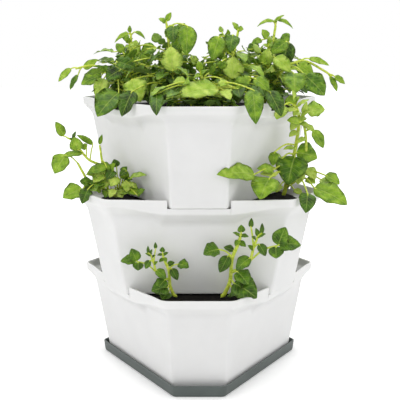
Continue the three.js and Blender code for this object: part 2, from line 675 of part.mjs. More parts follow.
// Top pot's plants as seen from the front: their stems, and the leaves beside those that wind up the stem.
// The first stem is the one that they wind up.
const topForms = [
  {
    corner: 1,
    height: frontBush,
    stems: [[[0, 0, 0], [0.02, 0.05, 0.4], [0.05, 0.1, 0.75]]],
    leaves: [
      [0, 0.6, -0.8, 0.62, 0.5, -0.77, 1.05, 0.06, 0.27, 0],
      [0, 0.8, 0.37, 0.43, 0.5, -0.44, 0.63, 0.36, 0.45, 0],
      [0, 0.7, 0.47, 0.43, 0.48, 0.6, 0.7, 0.25, 0.23, 0],
      [0, 0.9, 0.54, 0.33, 0.64, 0.36, 0.43, 0.55, 0.18, 0],
      [0, 0.6, 1, 0.5, 0.46, 1, 0.88, -0.08, 0.32, 0],
    ],
  },
  {
    corner: 2,
    height: cornerBush,
    stems: [[[0, 0, 0], [0.05, 0.05, 0.5], [0.12, 0.05, 1]]],
    leaves: [
      [0, 0.6, 0.33, 0.24, 0.77, 0.33, 0.36, 0.47, 0.2, 0],
      [0, 0.97, 0.11, 0.03, 1.05, -0.12, 0.09, 1.05, 0.06, 0],
      [0, 0.98, 0.14, 0.03, 1.07, 0.34, 0.09, 1.02, 0.06, 0],
      [0, 1, 0.1, 0.03, 1.04, 0.23, 0.06, 1.13, 0.05, 0],
      [0, 0.8, -0.06, 0.15, 0.82, -0.23, 0.21, 0.77, 0.09, 0],
      [0, 0.8, 0.01, 0.15, 0.84, -0.06, 0.15, 0.95, 0.1, 0],
    ],
  },
  {
    corner: 3,
    height: cornerBush,
    stems: [[[0, 0, 0], [0, 0.08, 0.5], [-0.01, 0.15, 0.9]]],
    leaves: [
      [0, 0.96, -0.03, 0.15, 0.9, -0.26, 0.21, 0.84, 0.06, 0],
      [0, 0.97, 0.05, 0.15, 0.92, 0.21, 0.21, 0.87, 0.05, 0],
      [0, 1, -0.02, 0.15, 0.91, -0.02, 0.15, 1, 0.05, 0],
      [0, 0.6, 0.04, 0.21, 0.63, 0.08, 0.23, 0.82, 0.17, 0],
    ],
  },
  {
    ring: 1,
    height: ringBush,
    stems: [[[0, 0, 0], [0.08, -0.1, 0.5], [0.18, -0.25, 1]]],
    leaves: [
      [0, 0.8, -0.07, 0.05, 0.91, -0.21, 0.21, 0.62, 0.2, 0],
      [0, 0.85, 0.1, -0.04, 0.93, 0.06, 0.12, 0.72, 0.18, 0],
      [0, 1, 0.17, -0.25, 0.99, 0.1, -0.25, 1.09, 0.08, 0],
      [0, 0.97, 0.18, -0.25, 1, 0.28, -0.25, 1, 0.08, 0],
      [0, 0.4, 0.09, 0.22, 0.4, 0.11, 0.12, 0.67, 0.24, 0],
      [0, 0.3, 0.3, 0.42, 0.4, 0.12, 0.54, 0.27, 0.17, 0],
      [0, 0.3, 0.35, 0.42, 0.41, 0.52, 0.5, 0.27, 0.17, 0],
    ],
  },
  {
    ring: 2,
    circle: sideCircle,
    height: ringBush,
    stems: [
      [[0, 0, 0], [0, 0, 0.4], [-0.02, 0, 0.75]],
      [[0, 0, 0.2], [0.2, 0.05, 0.5], [0.45, 0.02, 0.6], [0.71, 0, 0.48], [0.83, 0, 0.4]],
    ],
    leaves: [
      [0, 0.7, -0.05, 0.12, 0.55, -0.02, 0.12, 0.76, 0.17, 0],
      [0, 1, 0.23, 0, 0.85, 0.02, 0.06, 0.69, 0.18, 0],
      [0, 0.8, 0.06, 0.18, 0.65, 0.26, 0.28, 0.46, 0.19, 0],
      [1, 0.5, 0.37, 0.06, 0.55, 0.57, 0.12, 0.41, 0.18, 0],
      [1, 0.3, 0.3, 0.26, 0.45, 0.3, 0.5, 0.12, 0.3, 0],
      [1, 0.4, 0.45, 0.27, 0.42, 0.69, 0.36, 0.17, 0.27, 0],
      [1, 0.55, 0.52, 0, 0.63, 0.79, 0, 0.54, 0.09, 0],
      [1, 0.96, 0.86, 0, 0.4, 1, 0, 0.3, 0.09, 0],
      [1, 0.9, 0.8, 0, 0.4, 0.9, 0, 0.2, 0.08, 0],
    ],
  },
  { ring: 3, height: ringBush, stems: [[[0, 0, 0], [0.02, 0, 0.5], [0.03, 0, 0.9]]], leaves: [] },
  { ring: 4, height: ringBush, stems: [[[0, 0, 0], [-0.02, 0, 0.5], [-0.03, 0, 0.9]]], leaves: [] },
  {
    ring: 5,
    circle: sideCircle,
    height: ringBush,
    stems: [
      [[0, 0, 0], [0, 0, 0.4], [0.02, 0, 0.75]],
      [[0, 0, 0.2], [-0.2, 0.05, 0.45], [-0.47, 0.03, 0.54], [-0.7, 0.01, 0.5]],
    ],
    leaves: [
      [1, 0.3, -0.13, 0.42, 0.2, -0.43, 0.57, 0.03, 0.24, 0],
      [1, 0.4, -0.31, 0.24, 0.38, -0.38, 0.45, 0.12, 0.18, 0],
      [1, 0.5, -0.35, 0.12, 0.42, -0.62, 0.12, 0.3, 0.2, 0],
      [1, 0.75, -0.59, 0, 0.5, -0.41, 0, 0.62, 0.1, 0],
      [1, 0.96, -0.76, 0, 0.5, -0.93, 0, 0.33, 0.09, 0],
      [1, 0.9, -0.67, 0, 0.42, -0.78, 0, 0.22, 0.08, 0],
      [0, 0.7, -0.09, 0.36, 0.49, -0.26, 0.45, 0.38, 0.21, 0],
      [0, 0.8, -0.13, 0.4, 0.6, 0.16, 0.52, 0.52, 0.18, 0],
      [0, 1, 0.34, -0.06, 0.78, 0.15, 0, 0.69, 0.17, 0],
    ],
  },
  {
    ring: 6,
    height: ringBush,
    stems: [[[0, 0, 0], [-0.03, -0.08, 0.5], [-0.09, -0.19, 1.07]]],
    leaves: [
      [0, 1, -0.1, -0.19, 1.08, -0.19, -0.16, 1.13, 0.08, 0],
      [0, 1, -0.09, -0.19, 1.1, -0.03, -0.19, 1.21, 0.07, 0],
      [0, 0.95, 0, -0.07, 1.04, 0, 0.08, 0.83, 0.18, 0],
      [0, 0.95, 0.17, 0.05, 1.04, 0.31, 0.3, 0.68, 0.22, 0],
      [0, 0.7, 0.13, -0.1, 0.88, 0, -0.05, 0.74, 0.19, 0],
      [0, 0.4, 0, 0.2, 0.49, -0.03, 0.14, 0.79, 0.25, 0],
      [0, 0.3, -0.5, 0.2, 0.39, -0.39, 0.38, 0.12, 0.27, 0],
    ],
  },
];

const footLevel = saucerFloor + ribHeight + restGap;
const bladeWidthsPlain = [[0.4, 1]];
const bladeWidthsFull = [[0.28, 0.95], [0.68, 0.8]];

// Where a plant stands: beyond the foot of the pot above by out, and along the pocket by along
function pocketCrown(pocket, out, along) {
  const place = outward(pocket * third).multiplyScalar(footSide + out);
  place.addScaledVector(across(pocket * third), along);
  return new THREE.Vector3(place.x, place.y, soilTop);
}

// The plants of the two lower pots. A plant names its pocket and the way that its places are measured.
const front = 0;
const back = Math.PI;
const pocketBushOf = (name, pocket) => ({
  name,
  pocket,
  out: bushOut,
  along: 0,
  turn: pocket * third,
  hand: 1,
  height: pocketBush,
  stems: [bushStem],
  leaves: bushLeaves(bushStem, pocketBushSpread / pocketBush, pocket * windingTurn, pocketLeafCount),
  widths: bladeWidthsPlain,
});
const seedling = {
  pocket: 0,
  out: seedlingOut,
  turn: front,
  stems: seedlingStems,
  leaves: seedlingLeafShares,
  widths: bladeWidthsFull,
};
const pocketPlants = [
  [
    { ...seedling, name: 'plant_front_left', along: -seedlingAlong, hand: -1, height: smallSeedling },
    { ...seedling, name: 'plant_front_right', along: seedlingAlong, hand: 1, height: tallSeedling },
    pocketBushOf('plant_rear_right', 1),
    pocketBushOf('plant_rear_left', 2),
  ],
  [
    {
      name: 'plant_middle_left',
      pocket: 1,
      out: leaningOut,
      along: -leaningAlong,
      turn: back,
      hand: 1,
      height: leaningHeight,
      stems: leaningStems,
      leaves: leaningLeafShares,
      widths: bladeWidthsFull,
    },
    {
      name: 'plant_middle_right',
      pocket: 2,
      out: tallOut,
      along: tallAlong,
      turn: back,
      hand: 1,
      height: tallHeight,
      stems: tallStems,
      leaves: tallLeafShares,
      widths: bladeWidthsFull,
    },
    pocketBushOf('plant_middle_rear', 0),
  ],
];

const tower = new THREE.Group();
tower.name = 'planter_tower';
const paint = (hex, roughness) => new THREE.MeshStandardMaterial({ color: hex, roughness, metalness: 0 });

function add(group, name, geometry, material) {
  const mesh = new THREE.Mesh(geometry, material);
  mesh.name = name;
  group.add(mesh);
}

// The top pot's plants: one in each corner, then a ring of taller ones round the middle
function topPlants() {
  const rows = topForms.map(({ corner, ring, circle, ...form }) => {
    const name = corner ? `plant_top_corner_${corner}` : `plant_top_ring_${ring}`;
    const angle = corner ? (corner - 1) * third : ((ring - 0.5) / ringCount) * 2 * Math.PI;
    const place = outward(angle).multiplyScalar(circle ?? (corner ? cornerCircle : ringCircle));
    return { ...form, name, crown: new THREE.Vector3(place.x, place.y, soilTop) };
  });
  return rows.map(({ name, crown, height, stems, leaves }, k) => {
    const others = rows.filter((row) => row.name !== name).map((row) => row.crown);
    const geometry = plantGeometry({
      crown,
      height,
      turn: front,
      hand: 1,
      stems,
      leaves: [...bushLeaves(stems[0], topSpread / height, k * windingTurn, topLeafCount), ...leaves],
      widths: bladeWidthsPlain,
      keepStem: (place) => place,
      keepLeaf: (place, keep) => overOwnPot(insideCell(place, crown, others, keep), keep),
    });
    return { name, crown, geometry };
  });
}

function pocketPlantsOf(level) {
  const rows = pocketPlants[level];
  const crowns = rows.map(({ pocket, out, along }) => pocketCrown(pocket, out, along));
  return rows.map(({ name, turn, hand, height, stems, leaves, widths }, k) => {
    const crown = crowns[k];
    const others = crowns.filter((other) => other !== crown);
    const geometry = plantGeometry({
      crown,
      height,
      turn,
      hand,
      stems,
      leaves,
      widths,
      keepStem: clearOfPotAbove,
      keepLeaf: (place, keep) =>
        clearOfPotAbove(overOwnPot(insideCell(place, crown, others, keep), keep), keep),
    });
    return { name, crown, geometry };
  });
}

add(tower, 'saucer', saucerGeometry(), paint(0x6b726e, 0.5));
['bottom', 'middle', 'top'].forEach((level, k) => {
  const group = new THREE.Group();
  group.position.z = footLevel + k * pitch;
  group.rotation.z = (k % 2) * Math.PI;
  tower.add(group);
  const plants = k < pocketPlants.length ? pocketPlantsOf(k) : topPlants();
  add(group, `pot_${level}`, potGeometry(), paint(0xe9e9e7, 0.45));
  add(group, `soil_${level}`, soilGeometry(plants.map((plant) => plant.crown)), paint(0x2a211b, 0.95));
  for (const plant of plants) add(group, plant.name, plant.geometry, paint(0x5f9130, 0.6));
});

export default tower;
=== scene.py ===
"""A planter tower: three stacked off-white plastic pots on a grey saucer, with young potato plants.

Shapes are worked out in millimetres in the tower's own frame (+Z up, the front towards -Y) and turned to
metres where a mesh is made. Pots, saucer, soil and plants take the place of the plain solids of the frame.
"""

import math
from collections import namedtuple

import bpy
import numpy as np
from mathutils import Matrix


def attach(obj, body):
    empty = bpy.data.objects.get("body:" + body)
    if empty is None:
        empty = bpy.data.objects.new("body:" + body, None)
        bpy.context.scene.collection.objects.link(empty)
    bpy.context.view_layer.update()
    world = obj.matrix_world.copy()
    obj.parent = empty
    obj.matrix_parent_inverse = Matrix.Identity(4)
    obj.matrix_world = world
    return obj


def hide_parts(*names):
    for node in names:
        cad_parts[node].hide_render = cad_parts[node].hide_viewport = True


MM = 0.001
THIRD = math.radians(120)
SIXTH = THIRD / 2
ROOT3 = math.sqrt(3)

# Camera, fitted to the photograph
PHOTO_SIDE = 400
FOCAL_PIXELS = 912
PRINCIPAL_COLUMN = 199
SENSOR_MM = 36
CAMERA_DISTANCE = 1983
CAMERA_HEIGHT = 714.5
CAMERA_PITCH = math.radians(9.9)

TIERS = ["bottom", "middle", "top"]

# Pots, in the frame of a pot's foot: distances from the axis to the outer faces
PITCH = 190
FOOT_SIDE, HEAD_SIDE = 151, 178
FOOT_CORNER, HEAD_CORNER = 207, 245
POT_WALL, POT_FLOOR = 3, 3.5
RIM_RISE, RIM_THICKNESS, RIM_DRAFT = 16.5, 5, 1
CORNER_REACH, SEAT_REACH = 16, 25
CORNER_BAND_FOOT, SEAT_BAND_DROP = 1, 13
CORNER_FLARE_DROP, SIDE_FLARE_DROP, SEAT_FLARE_DROP = 20, 22, 36
SEAT_HALF, SEAT_RUN_OUT = 74, 18
NOTCH_HALF = 62
SEAT_PAST_NOTCH = SEAT_HALF - NOTCH_HALF
REST_GAP = 0.3
RIM_TOP = PITCH + RIM_RISE
SEAT_TOP = PITCH - REST_GAP
DRAIN_CIRCLE, DRAIN_RADIUS, DRAIN_COUNT, DRAIN_SIDES = 90, 5, 6, 24

# How far each edge of a pot is rounded, and how far from the edges of foot and floor the flat faces start
EDGE_ROUND, NOTCH_ROUND = 10, 2.2
FOOT_ROUND, FLARE_ROUND, BAND_ROUND, RIM_ROUND = 4, 9, 3, 1.8
INNER_BAND_ROUND, INNER_FLARE_ROUND, FLOOR_ROUND = 4, 8, 5
FOOT_INSET, FLOOR_INSET = 12, 30

# Soil: its surface is rough to ROUGHNESS, and lies SETTLED lower at the wall. The shares are of the way from
# the wall to the axis over which the surface turns rough and rises to its full height
SOIL_TOP = PITCH - 3
SOIL_ROUGHNESS, SOIL_SETTLED = 1.6, 9
ROUGH_SHARE, SETTLED_SHARE = 0.06, 0.16
SOIL_RINGS, INNERMOST_RING = 46, 0.03
WAVE_COUNT, SHORTEST_WAVE, LONGEST_WAVE = 40, 9, 60

# Saucer
SAUCER_SIDE, SAUCER_CORNER = 161, 228
SAUCER_HEIGHT, SAUCER_WALL, SAUCER_FLOOR, SAUCER_TAPER = 25, 3, 3, 3
SAUCER_EDGE, SAUCER_FOOT_ROUND, SAUCER_LIP_ROUND, SAUCER_FLOOR_ROUND = 15, 6, 1, 4
SAUCER_FLOOR_INSET = 20
RIB_HEIGHT, RIB_WIDTH, RIB_INNER, RIB_LENGTH, RIB_COUNT = 2.7, 5, 35, 100, 6
RIB_SUNK, RIB_TAPER = 0.5, 0.8
FOOT_LEVEL = SAUCER_FLOOR + RIB_HEIGHT + REST_GAP

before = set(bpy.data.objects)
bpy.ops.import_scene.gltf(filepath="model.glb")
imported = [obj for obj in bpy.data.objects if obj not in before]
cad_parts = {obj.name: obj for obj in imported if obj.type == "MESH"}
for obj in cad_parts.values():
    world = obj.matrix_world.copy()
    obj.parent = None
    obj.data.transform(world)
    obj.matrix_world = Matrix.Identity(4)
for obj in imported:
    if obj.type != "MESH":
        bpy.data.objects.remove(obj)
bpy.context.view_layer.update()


def outward(angle):
    """Unit plan vector at an angle from the front, anticlockwise seen from above."""
    return np.stack([np.sin(angle), -np.cos(angle)], -1)


def across(angle):
    """Unit plan vector a quarter turn on from outward."""
    return np.stack([np.cos(angle), np.sin(angle)], -1)


def unit(vectors):
    """Vectors divided by their lengths."""
    return vectors / np.maximum(np.linalg.norm(vectors, axis=-1, keepdims=True), 1e-9)


def smoothstep(value, low, high):
    """0 below low, 1 above high, and 3t^2 - 2t^3 of the share t between."""
    share = np.clip((value - low) / (high - low), 0, 1)
    return share * share * (3 - 2 * share)


def lerp(start, end, share):
    """The value a share of the way from start to end."""
    return start + (end - start) * share


def add_object(name, data):
    """Adds an object to the scene."""
    made = bpy.data.objects.new(name, data)
    bpy.context.scene.collection.objects.link(made)
    return made


def new_mesh(name, points, faces, body, materials, replaced=()):
    """A mesh object in metres from points in millimetres, riding on a body, with its materials."""
    mesh = bpy.data.meshes.new(name)
    mesh.from_pydata((np.asarray(points) * MM).tolist(), [], faces)
    mesh.update()
    mesh.shade_smooth()
    made = add_object(name, mesh)
    for material in materials:
        mesh.materials.append(material)
    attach(made, body)
    if replaced:
        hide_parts(*replaced)
    return made


def grid_faces(rows, columns):
    """Faces of rings of points numbered ring by ring, facing out where rings run anticlockwise and rise."""
    row, column = np.meshgrid(np.arange(rows - 1), np.arange(columns), indexing="ij")
    after = (column + 1) % columns
    first, onward = row * columns, (row + 1) * columns
    corners = [first + column, first + after, onward + after, onward + column]
    return np.stack(corners, -1).reshape(-1, 4).tolist()


def fan_faces(ring_start, columns, pole, upward):
    """Triangles from a ring of points to a pole."""
    column = np.arange(columns)
    after = (column + 1) % columns
    first, second = (column, after) if upward else (after, column)
    return np.stack([np.full(columns, pole), first + ring_start, second + ring_start], -1).tolist()


def capped_faces(rows, columns):
    """Faces of rings of points, closed on two poles that are numbered after them."""
    count = rows * columns
    faces = grid_faces(rows, columns) + fan_faces(0, columns, count, False)
    return faces + fan_faces(count - columns, columns, count + 1, True)


def capped(rings, first_pole, last_pole):
    """Points and faces of a closed surface: rings of points, and a pole at either end."""
    return np.concatenate([rings.reshape(-1, 3), [first_pole, last_pole]]), capped_faces(*rings.shape[:2])


def keep_flats(shell):
    """Smooth shading that leaves the flat faces flat."""
    shell.modifiers.new("flat_faces_stay_flat", "WEIGHTED_NORMAL").keep_sharp = True


# Materials

# Sockets of a colour mix node, which keeps its number sockets before them
MIX_FACTOR, MIX_FIRST, MIX_SECOND, MIX_RESULT = 0, 6, 7, 2


def linear(hex_value):
    """Linear RGBA of an sRGB hex value: the sRGB curve undone channel by channel."""
    channels = np.array([(hex_value >> shift) & 255 for shift in (16, 8, 0)]) / 255
    low = channels / 12.92
    high = ((channels + 0.055) / 1.055) ** 2.4
    return (*np.where(channels <= 0.04045, low, high).tolist(), 1.0)


def add_node(tree, kind, inputs=None, stops=(), **settings):
    """Adds a shader node with its settings and with values or links on its inputs, and gives its outputs.

    The stops are (place, hex colour), for a node that has a colour ramp.
    """
    made = tree.nodes.new(f"ShaderNode{kind}")
    for name, value in settings.items():
        setattr(made, name, value)
    for socket, value in (inputs or {}).items():
        if isinstance(value, bpy.types.NodeSocket):
            tree.links.new(value, made.inputs[socket])
        else:
            made.inputs[socket].default_value = value
    elements = made.color_ramp.elements if stops else ()
    while len(elements) < len(stops):
        elements.new(0.5)
    for element, (place, colour) in zip(elements, stops):
        element.position = place
        element.color = linear(colour)
    return made.outputs


def new_material(name):
    """An empty node material and its tree."""
    material = bpy.data.materials.new(name)
    material.use_nodes = True
    material.node_tree.nodes.clear()
    return material, material.node_tree


def surface(tree, looks):
    """Puts a shader with these looks on the material's output."""
    shader = add_node(tree, "BsdfPrincipled", looks)
    add_node(tree, "OutputMaterial", {"Surface": shader["BSDF"]})


def subsurface(weight, radius, scale_mm):
    """Looks of light that goes a little way into the material."""
    return {
        "Subsurface Weight": weight,
        "Subsurface Radius": radius,
        "Subsurface Scale": scale_mm * MM,
    }


def moulded_polypropylene(name, dull, bright, roughness, glow):
    """Injection-moulded polypropylene: spark-eroded grain gives a soft sheen, with faint flow marks."""
    material, tree = new_material(name)
    place = add_node(tree, "TexCoord")["Object"]
    flow_mm, grain_mm, gloss_change = 60, 1.2, 0.05
    flow = add_node(tree, "TexNoise", {"Vector": place, "Scale": 1 / (flow_mm * MM), "Detail": 3.0})["Fac"]
    grain = add_node(tree, "TexNoise", {"Vector": place, "Scale": 1 / (grain_mm * MM), "Detail": 1.0})["Fac"]
    gloss = {"Value": flow, "To Min": roughness - gloss_change, "To Max": roughness + gloss_change}
    pits = {"Height": grain, "Strength": 0.12, "Distance": 0.05 * MM}
    looks = {
        "Base Color": add_node(tree, "ValToRGB", {"Fac": flow}, [(0.3, dull), (0.7, bright)])["Color"],
        "Roughness": add_node(tree, "MapRange", gloss)["Result"],
        "Normal": add_node(tree, "Bump", pits)["Normal"],
        "IOR": 1.49,
    }
    # Thin white walls let a little light through
    surface(tree, looks | subsurface(glow, (1.0, 1.0, 0.95), 6))
    return material


def potting_soil():
    """Damp peat and bark: crumbs of a few millimetres, nearly black, some lighter fibres."""
    material, tree = new_material("potting_soil")
    place = add_node(tree, "TexCoord")["Object"]
    crumb_mm, patch_mm = 4, 30
    crumb = add_node(tree, "TexVoronoi", {"Vector": place, "Scale": 1 / (crumb_mm * MM)})
    patch = add_node(tree, "TexNoise", {"Vector": place, "Scale": 1 / (patch_mm * MM), "Detail": 6.0})["Fac"]
    patchy = add_node(tree, "Math", {0: crumb["Color"], 1: patch}, operation="MULTIPLY")["Value"]
    shades = [(0.05, 0x060504), (0.3, 0x100C0A), (0.7, 0x241B15)]
    lumps = {"Height": crumb["Distance"], "Strength": 0.8, "Distance": 1.5 * MM}
    looks = {
        "Base Color": add_node(tree, "ValToRGB", {"Fac": patchy}, shades)["Color"],
        "Normal": add_node(tree, "Bump", lumps)["Normal"],
        "Roughness": 0.95,
        "Specular IOR Level": 0.2,
    }
    surface(tree, looks)
    return material


def leaf_veins(tree, uv):
    """1 on the midrib, less on the side veins and 0 between them.

    Side veins leave the midrib forwards: their phase is U less a share of the distance from the midrib.
    """
    vein_count, vein_lean, side_strength = 7, 0.55, 0.55
    split = add_node(tree, "SeparateXYZ", {"Vector": uv})
    side = add_node(tree, "Math", {0: split["Y"], 1: 0.5}, operation="SUBTRACT")["Value"]
    apart = add_node(tree, "Math", {0: side}, operation="ABSOLUTE")["Value"]
    lean = add_node(tree, "Math", {0: apart, 1: -vein_lean, 2: split["X"]}, operation="MULTIPLY_ADD")["Value"]
    phase = add_node(tree, "Math", {0: lean, 1: vein_count * math.tau}, operation="MULTIPLY")["Value"]
    wave = add_node(tree, "Math", {0: phase}, operation="COSINE")["Value"]
    side_vein = add_node(tree, "MapRange", {"Value": wave, "From Min": 0.86, "From Max": 1.0})["Result"]
    midrib = add_node(tree, "MapRange", {"Value": apart, "From Min": 0.035, "From Max": 0.012})["Result"]
    both = {0: side_vein, 1: side_strength, 2: midrib}
    return add_node(tree, "Math", both, operation="MULTIPLY_ADD", use_clamp=True)["Value"]


def potato_leaf():
    """Living potato leaf: matt to satin, pale sunken midrib and side veins, older leaves darker.

    The UV map runs along the blade in U and across it in V. The tone attribute is 0 on the darkest leaves and
    1 on the palest: beside the leaves' own age it holds painted shade, making low and shaded leaves darker,
                     and
    painted light, making high and lit leaves paler. The under attribute is 1 on the underside.
    """
    material, tree = new_material("potato_leaf")
    place = add_node(tree, "TexCoord")
    tone = add_node(tree, "Attribute", attribute_name="tone")["Fac"]
    under = add_node(tree, "Attribute", attribute_name="under")["Fac"]
    blotch_mm, pucker_mm = 14, 5
    blotch = {"Vector": place["Object"], "Scale": 1 / (blotch_mm * MM), "Detail": 4.0}
    pucker = {"Vector": place["Object"], "Scale": 1 / (pucker_mm * MM), "Detail": 1.0}
    blotch, pucker = (add_node(tree, "TexNoise", pattern)["Fac"] for pattern in (blotch, pucker))
    blotched = add_node(tree, "Math", {0: blotch, 1: 0.8, 2: -0.2}, operation="MULTIPLY_ADD")["Value"]
    # The tone brings painted shade on low and shaded leaves and painted light on high and lit ones
    shade = add_node(tree, "Math", {0: tone, 1: 0.72, 2: blotched}, operation="MULTIPLY_ADD")["Value"]
    greens = [(0.08, 0x142800), (0.36, 0x4A7408), (0.62, 0x90B428), (0.9, 0xCCE268)]
    colour = add_node(tree, "ValToRGB", {"Fac": shade}, greens)["Color"]
    vein = leaf_veins(tree, place["UV"])
    # The veins are paler than the blade, and the underside is paler all over
    for where, share, pale in ((vein, 0.36, 0xC0D66A), (under, 0.45, 0x94B45C)):
        factor = add_node(tree, "Math", {0: where, 1: share}, operation="MULTIPLY")["Value"]
        mix = {MIX_FACTOR: factor, MIX_FIRST: colour, MIX_SECOND: linear(pale)}
        colour = add_node(tree, "Mix", mix, data_type="RGBA")[MIX_RESULT]
    sunk = add_node(tree, "Math", {0: pucker, 1: vein}, operation="SUBTRACT")["Value"]
    looks = {
        "Base Color": colour,
        "Normal": add_node(tree, "Bump", {"Height": sunk, "Strength": 0.7, "Distance": 1.2 * MM})["Normal"],
        "Roughness": 0.42,
        "Specular IOR Level": 0.3,
    }
    surface(tree, looks | subsurface(0.15, (0.5, 1.0, 0.1), 1.5))
    return material


def potato_stem():
    """Soft potato stem and leaf stalk: juicy yellow-green, slightly ribbed, satin."""
    material, tree = new_material("potato_stem")
    place = add_node(tree, "TexCoord")["Object"]
    streak_mm = 6
    streaks = {"Vector": place, "Scale": 1 / (streak_mm * MM), "Detail": 3.0}
    streak = add_node(tree, "TexNoise", streaks)["Fac"]
    shades = [(0.25, 0xA4C02E), (0.5, 0xCCDC44), (0.75, 0xE4EE74)]
    looks = {
        "Base Color": add_node(tree, "ValToRGB", {"Fac": streak}, shades)["Color"],
        "Normal": add_node(tree, "Bump", {"Height": streak, "Strength": 0.3, "Distance": 0.4 * MM})["Normal"],
        "Roughness": 0.45,
    }
    surface(tree, looks | subsurface(0.1, (0.6, 1.0, 0.2), 2))
    return material


WHITE_PLASTIC = moulded_polypropylene("off_white_polypropylene", 0xE8E8E7, 0xECECEB, 0.42, 0.4)
GREY_PLASTIC = moulded_polypropylene("grey_green_polypropylene", 0x515956, 0x59615E, 0.45, 0)
SOIL = potting_soil()
LEAF = potato_leaf()
STEM = potato_stem()


# Outline of pots and saucer


def outline_columns(side_places, arc_steps):
    """Columns round the outline, a third at a time: two rounded edges of a cut corner, then a long side.

    Each column has facing, hand (-1 or 1 on a rounded edge, 0 on a long side), turn (the share of the edge's
    sixth of a circle) and place, the index of its entry in side_places.
    """
    rows = []
    for facing in (0, THIRD, 2 * THIRD):
        rows += [(facing, -1, 1 - step / arc_steps, -1) for step in range(arc_steps + 1)]
        rows += [(facing, 1, step / arc_steps, -1) for step in range(arc_steps + 1)]
        rows += [(facing, 0, 0, place) for place in range(side_places)]
    facing, hand, turn, place = np.array(rows).T
    return {"facing": facing, "hand": hand, "turn": turn, "place": place.astype(int)}


def outline_points(columns, side, corner, edge, offset, along, height):
    """Points of the outline at distances side and corner from the axis, pushed out by offset.

    A rounded edge's centre lies edge inside both faces, and its points a radius from it. A long side's points
    lie on its face, along from its middle. All but the edge may be arrays of rings by columns.
    """
    facing, hand = columns["facing"], columns["hand"]
    half_facet = (2 * (side - edge) - (corner - edge)) / ROOT3
    centre = (corner - edge)[..., None] * outward(facing) + (hand * half_facet)[..., None] * across(facing)
    spoke = outward(facing + hand * columns["turn"] * SIXTH)
    on_edge = centre + (edge + offset)[..., None] * spoke
    middle = facing + SIXTH
    on_side = (side + offset)[..., None] * outward(middle) + along[..., None] * across(middle)
    plan = np.where((hand != 0)[..., None], on_edge, on_side)
    return np.concatenate([plan, np.broadcast_to(height[..., None], plan.shape[:-1] + (1,))], -1)


MOST_CUT = 0.45


def rounded_profile(corners):
    """A profile through corners of (offset, height, radius, steps), each a number or an array over columns.

    Each corner is replaced by a quadratic curve between the points a radius before and after it, or MOST_CUT
    of the shorter edge where that is less. Returns offsets and heights as rings by columns.
    """
    count = max(np.size(value) for corner in corners for value in corner[:2])
    spots = [np.stack(np.broadcast_arrays(c[0], c[1], np.zeros(count))[:2], -1) for c in corners]
    rings = [spots[0]]
    for k in range(1, len(corners) - 1):
        before, here, after = spots[k - 1], spots[k], spots[k + 1]
        back = np.linalg.norm(before - here, axis=-1, keepdims=True)
        ahead = np.linalg.norm(after - here, axis=-1, keepdims=True)
        reach = np.minimum(corners[k][2], MOST_CUT * np.minimum(back, ahead))
        start = here + (before - here) / back * reach
        end = here + (after - here) / ahead * reach
        for step in range(corners[k][3] + 1):
            t = step / corners[k][3]
            rings.append((1 - t) ** 2 * start + 2 * t * (1 - t) * here + t * t * end)
    rings.append(spots[-1])
    profile = np.array(rings)
    return profile[..., 0], profile[..., 1]


# Long side of a pot, from the middle of its notch outwards: distance past the notch's end, how far the rim
# has risen from the seat to its full height, and how closely the column follows the notch's slanting end
NOTCH_COLUMNS = [
    (-NOTCH_HALF, 0, 0),
    (-30, 0, 0),
    (-8, 0, 0.3),
    (-2, 0, 0.9),
    (0, 0, 1),
    (0, 1 - NOTCH_ROUND / RIM_RISE, 1),
    (0.15 * NOTCH_ROUND, 1 - 0.5 * NOTCH_ROUND / RIM_RISE, 1),
    (0.5 * NOTCH_ROUND, 1 - 0.13 * NOTCH_ROUND / RIM_RISE, 1),
    (NOTCH_ROUND, 1, 1),
    (6, 1, 0.6),
    (SEAT_PAST_NOTCH + 2, 1, 0),
    (SEAT_PAST_NOTCH + 9, 1, 0),
    (SEAT_PAST_NOTCH + SEAT_RUN_OUT, 1, 0),
]
# Columns further out: their shares of what is left of the side
FAR_SHARES = [0.25, 0.5, 0.75]
ARC_STEPS = 8


def side_table():
    """Columns of a whole long side, from end to end: NOTCH_COLUMNS and FAR_SHARES, mirrored and as given."""
    half = [(beyond, rise, follow, 0.0) for beyond, rise, follow in NOTCH_COLUMNS]
    half += [(SEAT_PAST_NOTCH + SEAT_RUN_OUT, 1, 0, share) for share in FAR_SHARES]
    mirrored = [(-1, *row) for row in half[:0:-1]]
    return np.array(mirrored + [(1, *row) for row in half])


def pot_side(height):
    """Distance from the axis to a long side's face at a height above the foot."""
    return lerp(FOOT_SIDE, HEAD_SIDE, np.minimum(height, PITCH) / PITCH)


def pot_corner(height):
    """Distance from the axis to a cut corner's face at a height above the foot."""
    return lerp(FOOT_CORNER, HEAD_CORNER, np.minimum(height, PITCH) / PITCH)


